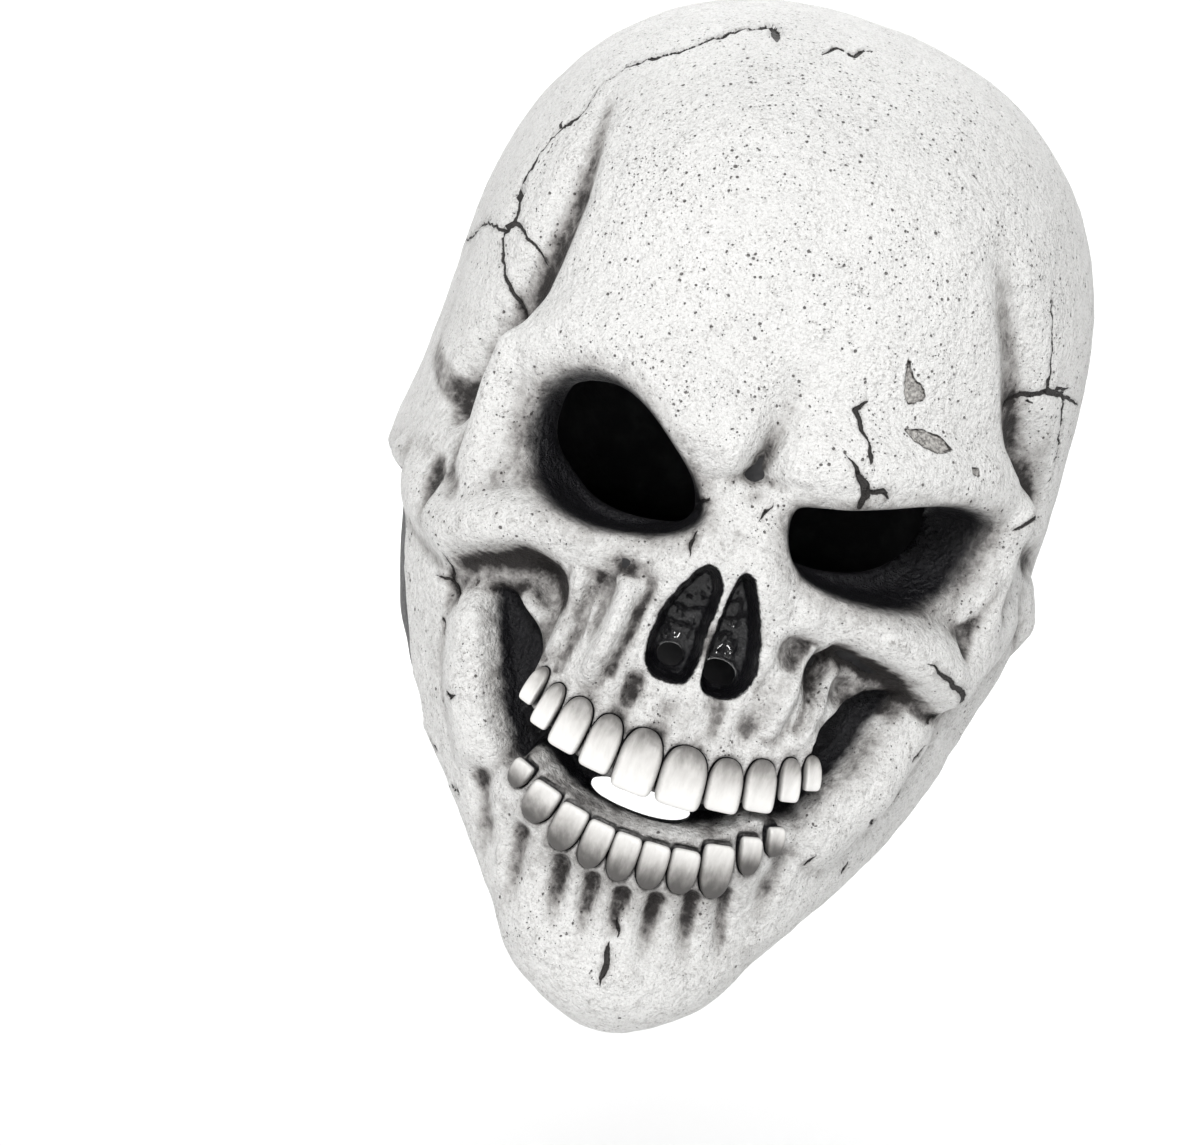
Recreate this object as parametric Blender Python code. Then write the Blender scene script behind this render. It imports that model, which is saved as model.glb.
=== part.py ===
"""A full skull mask: one hollow skin and two rows of teeth.

Metres, +Z up, the face towards -Y. The origin is the inner crown, where the mask is held up.
"""

import math

import bpy
import numpy as np

# Driving sizes
SKULL_WIDTH = 0.166
SKULL_HEIGHT = 0.246
SKULL_DEPTH = 0.200
WALL = 0.0028
RELIEF = 0.010  # the height that the rises in the tables are shares of
SOCKET_DEPTH = 0.015
NOSE_DEPTH = 0.010
GAP_DEPTH = 0.0095
NECK_STEP = 0.0045
TOOTH_THICKNESS = 0.0036
TOOTH_CLEARANCE = 0.00045
TOOTH_GAP = 0.0005

# Lengths that the face follows
FACE_GIRTH = 0.6024 * SKULL_WIDTH  # over the surface, from the midline to the front of the ear
FACE_LENGTH = 0.4065 * SKULL_HEIGHT  # from the inner crown down to the crease between the brows

# Shape of the crown and of the sections
CROWN_FULLNESS = 2.3
SECTION_FULLNESS = 2.3
CROWN_LEVEL = 0.5  # nothing is placed above this level of the dome
DIP_SHARPNESS = 8  # how quickly a section's dip at the front ends towards the sides

# Fineness of the skin
AROUND = 300
DOME_ROWS = 44
FACE_ROWS = 170
FRONT_CROWDING = 0.176  # how much closer the points lie on the face than on the nape
SKIN_TRIANGLES = 7800
ROLL_ROWS = 3  # how many rows and columns the rolling ball reaches over
ROLL_COLUMNS = 4

# Finish
BONE_WHITE = (0.80, 0.78, 0.74)
TOOTH_WHITE = (0.84, 0.82, 0.76)
BONE_ROUGHNESS = 0.6
TOOTH_ROUGHNESS = 0.4
EDGE_ANGLE = math.radians(50)  # sharper bends than this stay as edges

# Sections from the widest place of the cranium down to the neck rim.
# side and front: how far down, as shares of FACE_LENGTH. half: share of SKULL_WIDTH.
# face, nape, widest: places along Y, as shares of SKULL_DEPTH. lean: sideways, share of FACE_GIRTH.
SECTIONS = [
    # side, front, half, face, nape, widest, lean
    (0.82, 0.82, 0.481, -0.460, 0.515, 0.060, 0.000),
    (1.02, 1.02, 0.484, -0.470, 0.510, 0.040, 0.000),
    (1.17, 1.17, 0.490, -0.465, 0.500, 0.020, 0.000),
    (1.33, 1.35, 0.501, -0.475, 0.480, 0.000, 0.000),
    (1.50, 1.65, 0.476, -0.480, 0.440, -0.020, 0.000),
    (1.60, 1.83, 0.461, -0.490, 0.415, -0.030, 0.005),
    (1.68, 1.97, 0.446, -0.485, 0.395, -0.040, 0.010),
    (1.75, 2.12, 0.431, -0.475, 0.380, -0.045, 0.015),
    (1.81, 2.29, 0.410, -0.470, 0.370, -0.050, 0.025),
    (1.89, 2.41, 0.380, -0.430, 0.355, -0.060, 0.030),
    (1.92, 2.43, 0.337, -0.340, 0.330, -0.060, 0.030),
]

# Raised and sunken strokes on the face, each a few places with a width and a rise.
# across and width: shares of FACE_GIRTH, + is the mask's left. down: share of FACE_LENGTH.
# rise: share of RELIEF, and negative is sunken.
STROKES = {
    "brow_right": [
        (-0.10, 1.00, 0.15, 0.55),
        (-0.22, 0.95, 0.17, 0.62),
        (-0.38, 0.87, 0.16, 0.55),
        (-0.54, 0.87, 0.15, 0.50),
        (-0.66, 0.95, 0.13, 0.50),
    ],
    "brow_left": [
        (0.09, 0.99, 0.15, 0.60),
        (0.22, 0.97, 0.17, 0.72),
        (0.40, 0.95, 0.16, 0.72),
        (0.56, 0.94, 0.15, 0.62),
        (0.68, 0.95, 0.13, 0.50),
    ],
    "brow_crease": [
        (0.01, 0.80, 0.05, -0.10),
        (0.00, 0.92, 0.06, -0.35),
        (-0.01, 1.02, 0.07, -0.60),
        (-0.01, 1.07, 0.09, -0.35),
    ],
    "nose_bridge": [
        (-0.01, 1.08, 0.14, 0.10),
        (-0.01, 1.20, 0.17, 0.55),
        (-0.01, 1.29, 0.20, 0.80),
    ],
    "nose_side_right": [
        (-0.12, 1.24, 0.12, 0.35),
        (-0.19, 1.40, 0.13, 0.45),
        (-0.21, 1.54, 0.13, 0.35),
    ],
    "nose_side_left": [
        (0.09, 1.24, 0.12, 0.35),
        (0.16, 1.38, 0.13, 0.45),
        (0.17, 1.52, 0.13, 0.35),
    ],
    "cheekbone_right": [
        (-0.28, 1.33, 0.10, 0.45),
        (-0.45, 1.33, 0.11, 0.80),
        (-0.58, 1.37, 0.12, 0.90),
        (-0.70, 1.42, 0.12, 0.80),
        (-0.84, 1.41, 0.10, 0.45),
        (-1.00, 1.37, 0.10, 0.20),
    ],
    "cheekbone_left": [
        (0.24, 1.30, 0.10, 0.45),
        (0.40, 1.33, 0.11, 0.80),
        (0.52, 1.36, 0.12, 0.95),
        (0.64, 1.40, 0.12, 0.90),
        (0.76, 1.32, 0.11, 0.50),
        (0.90, 1.25, 0.10, 0.20),
    ],
    "orbit_side_right": [
        (-0.76, 0.98, 0.09, 0.55),
        (-0.72, 1.12, 0.10, 0.60),
        (-0.70, 1.26, 0.11, 0.60),
    ],
    "orbit_side_left": [
        (0.77, 0.96, 0.09, 0.55),
        (0.72, 1.08, 0.10, 0.60),
        (0.70, 1.22, 0.11, 0.60),
    ],
    "upper_jaw": [
        (-0.24, 1.66, 0.30, 0.35),
        (0.02, 1.68, 0.32, 0.50),
        (0.24, 1.62, 0.30, 0.35),
    ],
    "lower_jaw": [
        (-0.26, 2.02, 0.22, 0.20),
        (0.00, 2.05, 0.24, 0.35),
        (0.26, 1.96, 0.22, 0.20),
    ],
    "chin": [
        (-0.14, 2.28, 0.20, 0.35),
        (0.02, 2.32, 0.22, 0.60),
        (0.18, 2.28, 0.20, 0.35),
    ],
    "ramus_right": [
        (-0.60, 1.58, 0.10, 0.35),
        (-0.56, 1.74, 0.10, 0.45),
        (-0.48, 1.88, 0.10, 0.40),
    ],
    "ramus_left": [
        (0.62, 1.56, 0.10, 0.35),
        (0.55, 1.70, 0.10, 0.45),
        (0.44, 1.84, 0.10, 0.40),
    ],
    "temple_hollow_right": [
        (-0.74, 0.38, 0.08, -0.15),
        (-0.73, 0.59, 0.10, -0.40),
        (-0.77, 0.78, 0.11, -0.55),
        (-0.82, 0.93, 0.11, -0.65),
        (-0.86, 1.06, 0.12, -0.80),
        (-0.90, 1.13, 0.11, -0.65),
    ],
    "temple_hollow_left": [
        (0.42, 0.40, 0.08, -0.15),
        (0.57, 0.60, 0.10, -0.40),
        (0.66, 0.74, 0.11, -0.55),
        (0.76, 0.86, 0.11, -0.65),
        (0.86, 0.96, 0.11, -0.75),
        (0.90, 1.03, 0.10, -0.50),
    ],
    "temple_bulge_right": [
        (-1.00, 0.56, 0.22, 0.15),
        (-1.06, 0.84, 0.22, 0.15),
        (-1.08, 1.04, 0.16, 0.15),
    ],
    "temple_bulge_left": [
        (0.90, 0.56, 0.22, 0.15),
        (1.02, 0.84, 0.22, 0.15),
        (1.08, 1.02, 0.16, 0.15),
    ],
    "under_cheek_right": [
        (-0.66, 1.57, 0.07, -0.25),
        (-0.56, 1.51, 0.07, -0.35),
        (-0.46, 1.46, 0.08, -0.55),
        (-0.37, 1.50, 0.08, -0.60),
        (-0.36, 1.60, 0.06, -0.25),
    ],
    "under_cheek_left": [
        (0.20, 1.42, 0.07, -0.35),
        (0.30, 1.47, 0.08, -0.55),
        (0.41, 1.47, 0.08, -0.55),
        (0.52, 1.49, 0.06, -0.30),
    ],
    "ear_root_right": [
        (-1.14, 1.36, 0.09, 0.30),
        (-1.18, 1.42, 0.08, 0.35),
    ],
    "ear_root_left": [
        (1.06, 1.20, 0.09, 0.25),
        (1.10, 1.26, 0.08, 0.35),
    ],
    "mastoid_right": [
        (-1.42, 1.40, 0.11, 0.15),
        (-1.40, 1.52, 0.09, 0.40),
    ],
    "mastoid_left": [
        (1.34, 1.32, 0.11, 0.15),
        (1.32, 1.45, 0.09, 0.40),
    ],
    "nape_bulge": [
        (-2.60, 1.14, 0.50, 0.30),
        (2.60, 1.14, 0.50, 0.30),
    ],
}

# Grooves between the roots of the teeth and in the upper jaw, in the same columns.
ROOT_GROOVES = [
    [(-0.44, 1.44, 0.05, -0.25), (-0.40, 1.56, 0.05, -0.30), (-0.37, 1.63, 0.04, -0.10)],
    [(-0.26, 1.42, 0.05, -0.30), (-0.28, 1.54, 0.05, -0.30), (-0.30, 1.64, 0.04, -0.10)],
    [(-0.14, 1.60, 0.05, -0.18), (-0.14, 1.68, 0.05, -0.14)],
    [(-0.04, 1.64, 0.05, -0.15), (-0.05, 1.70, 0.05, -0.12)],
    [(0.06, 1.60, 0.05, -0.15), (0.05, 1.69, 0.05, -0.12)],
    [(0.20, 1.42, 0.05, -0.30), (0.15, 1.54, 0.05, -0.25), (0.14, 1.66, 0.04, -0.10)],
    [(0.28, 1.44, 0.05, -0.35), (0.24, 1.54, 0.05, -0.30), (0.22, 1.64, 0.04, -0.10)],
    [(0.38, 1.50, 0.05, -0.35), (0.33, 1.57, 0.05, -0.25)],
]

# The rims of the eye sockets. The mask's left one lies half under its brow.
SOCKETS = {
    "right": [
        (-0.62, 1.10),
        (-0.59, 1.01),
        (-0.51, 0.955),
        (-0.41, 0.94),
        (-0.30, 0.975),
        (-0.20, 1.05),
        (-0.12, 1.13),
        (-0.09, 1.19),
        (-0.13, 1.25),
        (-0.23, 1.29),
        (-0.36, 1.31),
        (-0.49, 1.28),
        (-0.58, 1.21),
    ],
    "left": [
        (0.085, 1.16),
        (0.10, 1.09),
        (0.19, 1.065),
        (0.28, 1.035),
        (0.42, 0.99),
        (0.54, 0.98),
        (0.64, 1.01),
        (0.64, 1.10),
        (0.59, 1.20),
        (0.48, 1.27),
        (0.33, 1.29),
        (0.20, 1.28),
        (0.12, 1.235),
    ],
}
SOCKET_WALL = 0.060  # width of a socket's sloping wall, share of FACE_GIRTH

# The two lobes of the nose opening.
NOSE_LOBES = {
    "right": [
        (-0.075, 1.30),
        (-0.035, 1.295),
        (-0.012, 1.34),
        (-0.018, 1.45),
        (-0.012, 1.52),
        (-0.035, 1.57),
        (-0.080, 1.585),
        (-0.120, 1.565),
        (-0.138, 1.50),
        (-0.125, 1.40),
    ],
    "left": [
        (0.010, 1.30),
        (0.045, 1.285),
        (0.082, 1.34),
        (0.118, 1.43),
        (0.128, 1.51),
        (0.100, 1.57),
        (0.050, 1.585),
        (0.012, 1.55),
        (0.006, 1.45),
    ],
}
NOSE_WALL = 0.022

# The black recess that runs from one cheek, between the rows of teeth, to the other cheek.
CHEEK_RECESS = [
    (-0.575, 1.530),
    (-0.530, 1.510),
    (-0.460, 1.535),
    (-0.400, 1.580),
    (-0.370, 1.650),
    (-0.375, 1.730),
    (-0.300, 1.775),
    (-0.205, 1.820),
    (-0.110, 1.838),
    (0.000, 1.840),
    (0.100, 1.832),
    (0.190, 1.808),
    (0.265, 1.765),
    (0.320, 1.700),
    (0.325, 1.610),
    (0.400, 1.515),
    (0.490, 1.470),
    (0.555, 1.475),
    (0.510, 1.560),
    (0.470, 1.640),
    (0.400, 1.730),
    (0.355, 1.815),
    (0.290, 1.830),
    (0.230, 1.820),
    (0.150, 1.885),
    (0.030, 1.910),
    (-0.090, 1.922),
    (-0.190, 1.908),
    (-0.270, 1.870),
    (-0.320, 1.845),
    (-0.370, 1.900),
    (-0.420, 1.850),
    (-0.485, 1.740),
    (-0.525, 1.630),
]
RECESS_WALL = 0.030

# The black neck behind the jaw on both sides, sunk by NECK_STEP, and round the nape.
NECK_FRONT = [
    # down, edge: how far round the neck begins, share of FACE_GIRTH
    (1.30, 1.06),
    (1.40, 1.05),
    (1.55, 1.00),
    (1.70, 0.91),
    (1.80, 0.84),
    (1.90, 0.76),
]
NECK_TOP_SIDE = 1.37
NECK_TOP_BACK = 1.46
NECK_WALL = 0.05
NECK_SIDE_END = 1.2  # how far round the top edge starts to drop, and where it is down at the nape
NECK_BACK_START = 2.2

# Openings that go right through the skin.
EYE_HOLES = {
    "eye_right": [
        (-0.565, 1.10),
        (-0.545, 1.01),
        (-0.45, 0.97),
        (-0.35, 0.98),
        (-0.26, 1.04),
        (-0.19, 1.10),
        (-0.16, 1.16),
        (-0.18, 1.22),
        (-0.26, 1.25),
        (-0.36, 1.26),
        (-0.45, 1.24),
        (-0.53, 1.18),
    ],
    "eye_left": [
        (0.12, 1.14),
        (0.16, 1.085),
        (0.26, 1.065),
        (0.38, 1.02),
        (0.49, 1.015),
        (0.53, 1.07),
        (0.49, 1.16),
        (0.40, 1.22),
        (0.29, 1.245),
        (0.20, 1.24),
        (0.14, 1.20),
    ],
}
ROUND_HOLES = {
    # across, down, half_width, half_height, squareness
    "nostril_right": (-0.072, 1.530, 0.032, 0.027, 2.2),
    "nostril_left": (0.058, 1.535, 0.040, 0.030, 2.2),
    "mouth": (-0.035, 1.880, 0.125, 0.032, 2.0),
}
HOLE_SIDES = 28
CUTTER_REACH = 0.030

# Teeth from the mask's right to its left: how far down, how wide and tall, and how far turned, in degrees.
UPPER_ROW_START = -0.367
UPPER_TEETH = [
    # down, width, height, turn
    (1.690, 0.042, 0.095, 16),
    (1.722, 0.050, 0.110, 14),
    (1.744, 0.076, 0.128, 11),
    (1.762, 0.078, 0.132, 7),
    (1.775, 0.100, 0.148, 3),
    (1.780, 0.110, 0.138, -1),
    (1.770, 0.084, 0.120, -4),
    (1.748, 0.076, 0.118, -7),
    (1.718, 0.052, 0.102, -10),
    (1.690, 0.044, 0.085, -12),
]
LOWER_ROW_START = -0.352
LOWER_TEETH = [
    (1.898, 0.055, 0.070, 18),
    (1.945, 0.078, 0.098, 14),
    (1.978, 0.074, 0.115, 10),
    (1.994, 0.068, 0.116, 6),
    (2.000, 0.068, 0.116, 2),
    (1.998, 0.070, 0.112, -1),
    (1.990, 0.070, 0.110, -4),
    (1.968, 0.076, 0.132, -7),
    (1.912, 0.055, 0.095, -10),
    (1.865, 0.045, 0.075, -12),
]
FLAT_END_SQUARENESS = 5.0
ROUND_END_SQUARENESS = 2.8
TOOTH_SIDES = 16
TOOTH_RINGS = [  # share of the tooth's half size, share of its full thickness
    (0.55, 0.97),
    (0.88, 0.80),
    (1.00, 0.35),
]


def smooth_step(low, high, value):
    share = np.clip((value - low) / (high - low), 0.0, 1.0)
    return share * share * (3.0 - 2.0 * share)


def read_between(places, values, at):
    """A smooth curve through the rows of a table, that never overshoots them."""
    places = np.asarray(places, float)
    values = np.asarray(values, float)
    gaps = np.diff(places)
    slopes = np.diff(values) / gaps
    tangents = np.zeros(len(places))
    tangents[0] = slopes[0]
    tangents[-1] = slopes[-1]
    for i in range(1, len(places) - 1):
        if slopes[i - 1] * slopes[i] > 0:
            before = 2 * gaps[i] + gaps[i - 1]
            after = gaps[i] + 2 * gaps[i - 1]
            tangents[i] = (before + after) / (before / slopes[i - 1] + after / slopes[i])
    i = np.clip(np.searchsorted(places, at) - 1, 0, len(places) - 2)
    t = (at - places[i]) / gaps[i]
    return (
        values[i] * (2 * t**3 - 3 * t**2 + 1)
        + gaps[i] * tangents[i] * (t**3 - 2 * t**2 + t)
        + values[i + 1] * (3 * t**2 - 2 * t**3)
        + gaps[i] * tangents[i + 1] * (t**3 - t**2)
    )


def base_points(angle, level):
    """The plain head form. angle: from the front, + to the mask's left. level: 0 crown, 1 widest, 2 rim."""
    table = np.array(SECTIONS)
    row = np.clip(level - 1.0, 0.0, 1.0) * (len(table) - 1)
    rows = np.arange(len(table))
    side, front, half, face, nape, widest, lean = [read_between(rows, column, row) for column in table.T]
    around = np.clip(level, 0.0, 1.0) * math.pi / 2
    out = np.sin(around) ** (2 / CROWN_FULLNESS)
    rise = np.cos(around).clip(0.0) ** (2 / CROWN_FULLNESS)
    dip = ((1 + np.cos(angle)) / 2) ** DIP_SHARPNESS
    z = -FACE_LENGTH * (side + (front - side) * dip)
    widest_z = -FACE_LENGTH * table[0][0]
    z = np.where(level < 1, widest_z + (WALL - widest_z) * rise, z)
    wide = np.sign(np.sin(angle)) * np.abs(np.sin(angle)) ** (2 / SECTION_FULLNESS)
    deep = np.abs(np.cos(angle)) ** (2 / SECTION_FULLNESS)
    reach = np.where(np.cos(angle) > 0, face - widest, nape - widest)
    x = SKULL_WIDTH * half * out * wide + FACE_GIRTH * lean * np.cos(angle).clip(0.0)
    y = SKULL_DEPTH * (widest + reach * out * deep)
    return np.stack([x, y, z], axis=-1)


class HeadForm:
    """The plain head form as a grid, with each point's place across and down the face."""

    def __init__(self, around, dome_rows, face_rows):
        turn = np.linspace(-1.0, 1.0, around + 1)[:-1]
        # points lie closer together on the face than on the nape
        self.angle = math.pi * (turn - FRONT_CROWDING * np.sin(math.pi * turn))
        dome = np.linspace(0.0, 1.0, dome_rows + 1)[1:]
        face = 1.0 + np.linspace(0.0, 1.0, face_rows + 1)[1:]
        self.level = np.concatenate([dome, face])
        angle, level = np.meshgrid(self.angle, self.level)
        self.points = base_points(angle, level)
        self.down = -self.points[..., 2] / FACE_LENGTH
        self.across = self.surface_lengths() / FACE_GIRTH
        self.normals = self.outward()

    def surface_lengths(self):
        flat = self.points[..., :2]
        steps = np.linalg.norm(np.diff(flat, axis=1), axis=-1)
        run = np.concatenate([np.zeros((len(flat), 1)), np.cumsum(steps, axis=1)], axis=1)
        middle = np.argmin(np.abs(self.angle))
        return run - run[:, [middle]]

    def outward(self):
        along = np.roll(self.points, -1, axis=1) - np.roll(self.points, 1, axis=1)
        up_down = np.gradient(self.points, axis=0)
        normal = np.cross(up_down, along)
        return normal / np.linalg.norm(normal, axis=-1, keepdims=True)


def nearest_on_path(across, down, start, end):
    """Distance to a straight run, and how far along it the nearest place is."""
    run = np.array(end[:2]) - np.array(start[:2])
    along = ((across - start[0]) * run[0] + (down - start[1]) * run[1]) / (run @ run)
    along = np.clip(along, 0.0, 1.0)
    return np.hypot(across - start[0] - along * run[0], down - start[1] - along * run[1]), along


def stroke(across, down, rows):
    """A raised or sunken line whose width and rise change from place to place."""
    best = np.zeros_like(across)
    for start, end in zip(rows[:-1], rows[1:]):
        distance, along = nearest_on_path(across, down, start, end)
        width = start[2] + (end[2] - start[2]) * along
        rise = start[3] + (end[3] - start[3]) * along
        share = np.clip(1.0 - (distance / width) ** 2, 0.0, 1.0) ** 2 * rise
        best = np.where(np.abs(share) > np.abs(best), share, best)
    return best


def smooth_outline(corners, pieces=5):
    """A closed curve that passes through the corners."""
    corners = np.array(corners)
    out = []
    for i in range(len(corners)):
        a, b, c, d = (corners[(i + k - 1) % len(corners)] for k in range(4))
        for t in np.arange(pieces) / pieces:
            out.append(
                0.5 * (2 * b + (c - a) * t + (2 * a - 5 * b + 4 * c - d) * t**2 + (3 * b - a - 3 * c + d) * t**3)
            )
    return np.array(out)


def inside_distance(across, down, outline):
    """Distance to a closed outline: positive inside, negative outside."""
    nearest = np.full_like(across, np.inf)
    inside = np.zeros(across.shape, bool)
    for start, end in zip(outline, np.roll(outline, -1, axis=0)):
        distance, _ = nearest_on_path(across, down, start, end)
        nearest = np.minimum(nearest, distance)
        crosses = (start[1] > down) != (end[1] > down)
        if start[1] != end[1]:
            at = start[0] + (down - start[1]) * (end[0] - start[0]) / (end[1] - start[1])
            inside ^= crosses & (across < at)
    return np.where(inside, nearest, -nearest)


def neck_share(across, down):
    """1 on the black neck behind the jaw, 0 on the bone, with a short slope between."""
    rows = np.array(NECK_FRONT)
    edge = np.interp(down, rows[:, 0], rows[:, 1])
    behind = smooth_step(-NECK_WALL, NECK_WALL, np.abs(across) - edge)
    back = smooth_step(NECK_SIDE_END, NECK_BACK_START, np.abs(across))
    top = NECK_TOP_SIDE + (NECK_TOP_BACK - NECK_TOP_SIDE) * back
    below = smooth_step(-NECK_WALL, NECK_WALL, down - top)
    return behind * below


def bone_height(across, down):
    """How far the bone stands out from the plain head form, in metres."""
    height = sum(stroke(across, down, rows) for rows in STROKES.values())
    height = height + sum(stroke(across, down, rows) for rows in ROOT_GROOVES)
    return height * RELIEF


def skin_height(across, down):
    """How far the outer skin stands out from the plain head form, with its sockets and recesses."""
    height = bone_height(across, down)
    for corners in SOCKETS.values():
        inside = inside_distance(across, down, smooth_outline(corners))
        share = smooth_step(0.0, SOCKET_WALL, inside)
        height = height + (-SOCKET_DEPTH - height) * share
    for corners in NOSE_LOBES.values():
        share = smooth_step(0.0, NOSE_WALL, inside_distance(across, down, smooth_outline(corners)))
        height = height - NOSE_DEPTH * share
    recess = inside_distance(across, down, smooth_outline(CHEEK_RECESS))
    share = smooth_step(-RECESS_WALL / 2, RECESS_WALL, recess)
    height = height + (-GAP_DEPTH - height) * share
    neck = neck_share(across, down)
    return height + (-NECK_STEP - height) * neck


def inner_height(form, height):
    """The inner skin: a ball of the wall's radius rolls along under the outer skin."""
    lowest = height - WALL
    for rows in range(-ROLL_ROWS, ROLL_ROWS + 1):
        for columns in range(-ROLL_COLUMNS, ROLL_COLUMNS + 1):
            moved = np.roll(form.points, (rows, columns), axis=(0, 1))
            distance = np.linalg.norm(moved - form.points, axis=-1)
            under = np.roll(height, (rows, columns), axis=(0, 1)) - np.sqrt(np.clip(WALL**2 - distance**2, 0.0, None))
            near = distance < WALL
            if rows > 0:
                near[:rows] = False
            if rows < 0:
                near[rows:] = False
            lowest = np.where(near, np.minimum(lowest, under), lowest)
    return lowest


def add_object(name, points, faces, colour, roughness):
    mesh = bpy.data.meshes.new(name)
    mesh.from_pydata([tuple(point) for point in points], [], faces)
    mesh.validate()
    mesh.shade_smooth()
    mesh.set_sharp_from_angle(angle=EDGE_ANGLE)
    thing = bpy.data.objects.new(name, mesh)
    bpy.context.scene.collection.objects.link(thing)
    material = bpy.data.materials.new(name + "_finish")
    material.use_nodes = True
    shader = material.node_tree.nodes["Principled BSDF"]
    shader.inputs["Base Color"].default_value = (*colour, 1.0)
    shader.inputs["Roughness"].default_value = roughness
    mesh.materials.append(material)
    return thing


def grid_faces(rows, columns, first, flip):
    """Quads over a grid that closes round, as point numbers."""
    faces = []
    for row in range(rows - 1):
        for column in range(columns):
            after = (column + 1) % columns
            quad = [
                first + row * columns + column,
                first + (row + 1) * columns + column,
                first + (row + 1) * columns + after,
                first + row * columns + after,
            ]
            faces.append(quad[::-1] if flip else quad)
    return faces


def make_skin(form):
    rows, columns = form.across.shape
    height = skin_height(form.across, form.down)
    outer = form.points + form.normals * height[..., None]
    inner = form.points + form.normals * inner_height(form, height)[..., None]
    points = np.concatenate([outer.reshape(-1, 3), inner.reshape(-1, 3), [[0, 0, 0], [0, 0, 0]]])
    count = rows * columns
    crown_y = SKULL_DEPTH * SECTIONS[0][5]
    points[-2] = (0.0, crown_y, WALL)
    points[-1] = (0.0, crown_y, 0.0)
    faces = grid_faces(rows, columns, 0, False) + grid_faces(rows, columns, count, True)
    last = (rows - 1) * columns
    for column in range(columns):
        after = (column + 1) % columns
        faces.append([2 * count, column, after])
        faces.append([2 * count + 1, count + after, count + column])
        faces.append([last + column, count + last + column, count + last + after, last + after])
    return add_object("skull_shell", points, faces, BONE_WHITE, BONE_ROUGHNESS)


def place_on_form(form, across, down):
    """The plain head form's point there and its outward normal."""
    miss = (form.across - across) ** 2 + (form.down - down) ** 2
    miss[form.level < CROWN_LEVEL] = np.inf
    row, column = np.unravel_index(np.argmin(miss), miss.shape)
    row = min(max(row, 1), len(form.level) - 2)
    right = (column + 1) % len(form.angle)
    left = column - 1
    step_across = form.points[row, right] - form.points[row, left]
    step_across = step_across / (form.across[row, right] - form.across[row, left])
    step_down = (form.points[row + 1, column] - form.points[row - 1, column]) / (
        form.down[row + 1, column] - form.down[row - 1, column]
    )
    point = (
        form.points[row, column]
        + step_across * (across - form.across[row, column])
        + step_down * (down - form.down[row, column])
    )
    return point, form.normals[row, column]


def squared_oval(row):
    """The outline of a squared oval, as places across and down."""
    across, down, half_width, half_height, squareness = row
    angles = np.arange(HOLE_SIDES) * 2 * math.pi / HOLE_SIDES
    wide = np.sign(np.cos(angles)) * np.abs(np.cos(angles)) ** (2 / squareness) * half_width
    tall = np.sign(np.sin(angles)) * np.abs(np.sin(angles)) ** (2 / squareness) * half_height
    return np.stack([across + wide, down + tall], axis=-1)


def make_cutter(form, name, outline):
    """A straight plug through the skin, along the skin's own direction at the middle of the outline."""
    across, down = outline.mean(axis=0)
    following = np.roll(outline, -1, axis=0)
    turning = (outline[:, 0] * following[:, 1] - following[:, 0] * outline[:, 1]).sum()
    if turning > 0:
        outline = outline[::-1]
    _, normal = place_on_form(form, across, down)
    normal = np.array([normal[0], normal[1], 0.0])
    normal /= np.linalg.norm(normal)
    ring = np.array([place_on_form(form, *corner)[0] for corner in outline])
    points = np.concatenate([ring + normal * CUTTER_REACH, ring - normal * CUTTER_REACH])
    sides = len(outline)
    faces = [list(range(sides)), list(range(2 * sides - 1, sides - 1, -1))]
    for i in range(sides):
        after = (i + 1) % sides
        faces.append([i, sides + i, sides + after, after])
    cutter = add_object(name + "_cutter", points, faces, BONE_WHITE, BONE_ROUGHNESS)
    cutter.hide_render = True
    cutter.display_type = "WIRE"
    return cutter


def make_tooth(form, name, across, row, upward):
    """A tooth with a convex face and a back that follows the gum under it."""
    down, width, height, turn = row
    turn = math.radians(turn)
    angles = (np.arange(TOOTH_SIDES) + 0.5) * 2 * math.pi / TOOTH_SIDES
    flat_end = np.sin(angles) * upward < 0
    squareness = np.where(flat_end, FLAT_END_SQUARENESS, ROUND_END_SQUARENESS)
    wide = np.sign(np.cos(angles)) * np.abs(np.cos(angles)) ** (2 / squareness) * width / 2
    tall = np.sign(np.sin(angles)) * np.abs(np.sin(angles)) ** (2 / squareness) * height / 2
    ring_across = wide * math.cos(turn) + tall * math.sin(turn)
    ring_down = -wide * math.sin(turn) + tall * math.cos(turn)

    def skin_point(a, d, lift):
        point, normal = place_on_form(form, a, d)
        seat = bone_height(np.array([a]), np.array([d]))[0]
        return point + normal * (seat + TOOTH_CLEARANCE + lift)

    points = [skin_point(across, down, TOOTH_THICKNESS)]
    for share, lift in TOOTH_RINGS:
        for i in range(TOOTH_SIDES):
            points.append(
                skin_point(
                    across + ring_across[i] * share,
                    down - ring_down[i] * share,
                    lift * TOOTH_THICKNESS,
                )
            )
    for share in (1.0, 0.5):
        for i in range(TOOTH_SIDES):
            points.append(skin_point(across + ring_across[i] * share, down - ring_down[i] * share, 0.0))
    points.append(skin_point(across, down, 0.0))
    faces = []
    rings = len(TOOTH_RINGS) + 2
    for i in range(TOOTH_SIDES):
        after = (i + 1) % TOOTH_SIDES
        faces.append([0, 1 + i, 1 + after])
        for ring in range(rings - 1):
            here = 1 + ring * TOOTH_SIDES
            below = here + TOOTH_SIDES
            faces.append([here + i, below + i, below + after, here + after])
        last = 1 + (rings - 1) * TOOTH_SIDES
        faces.append([last + i, len(points) - 1, last + after])
    return add_object(name, np.array(points), faces, TOOTH_WHITE, TOOTH_ROUGHNESS)


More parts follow.
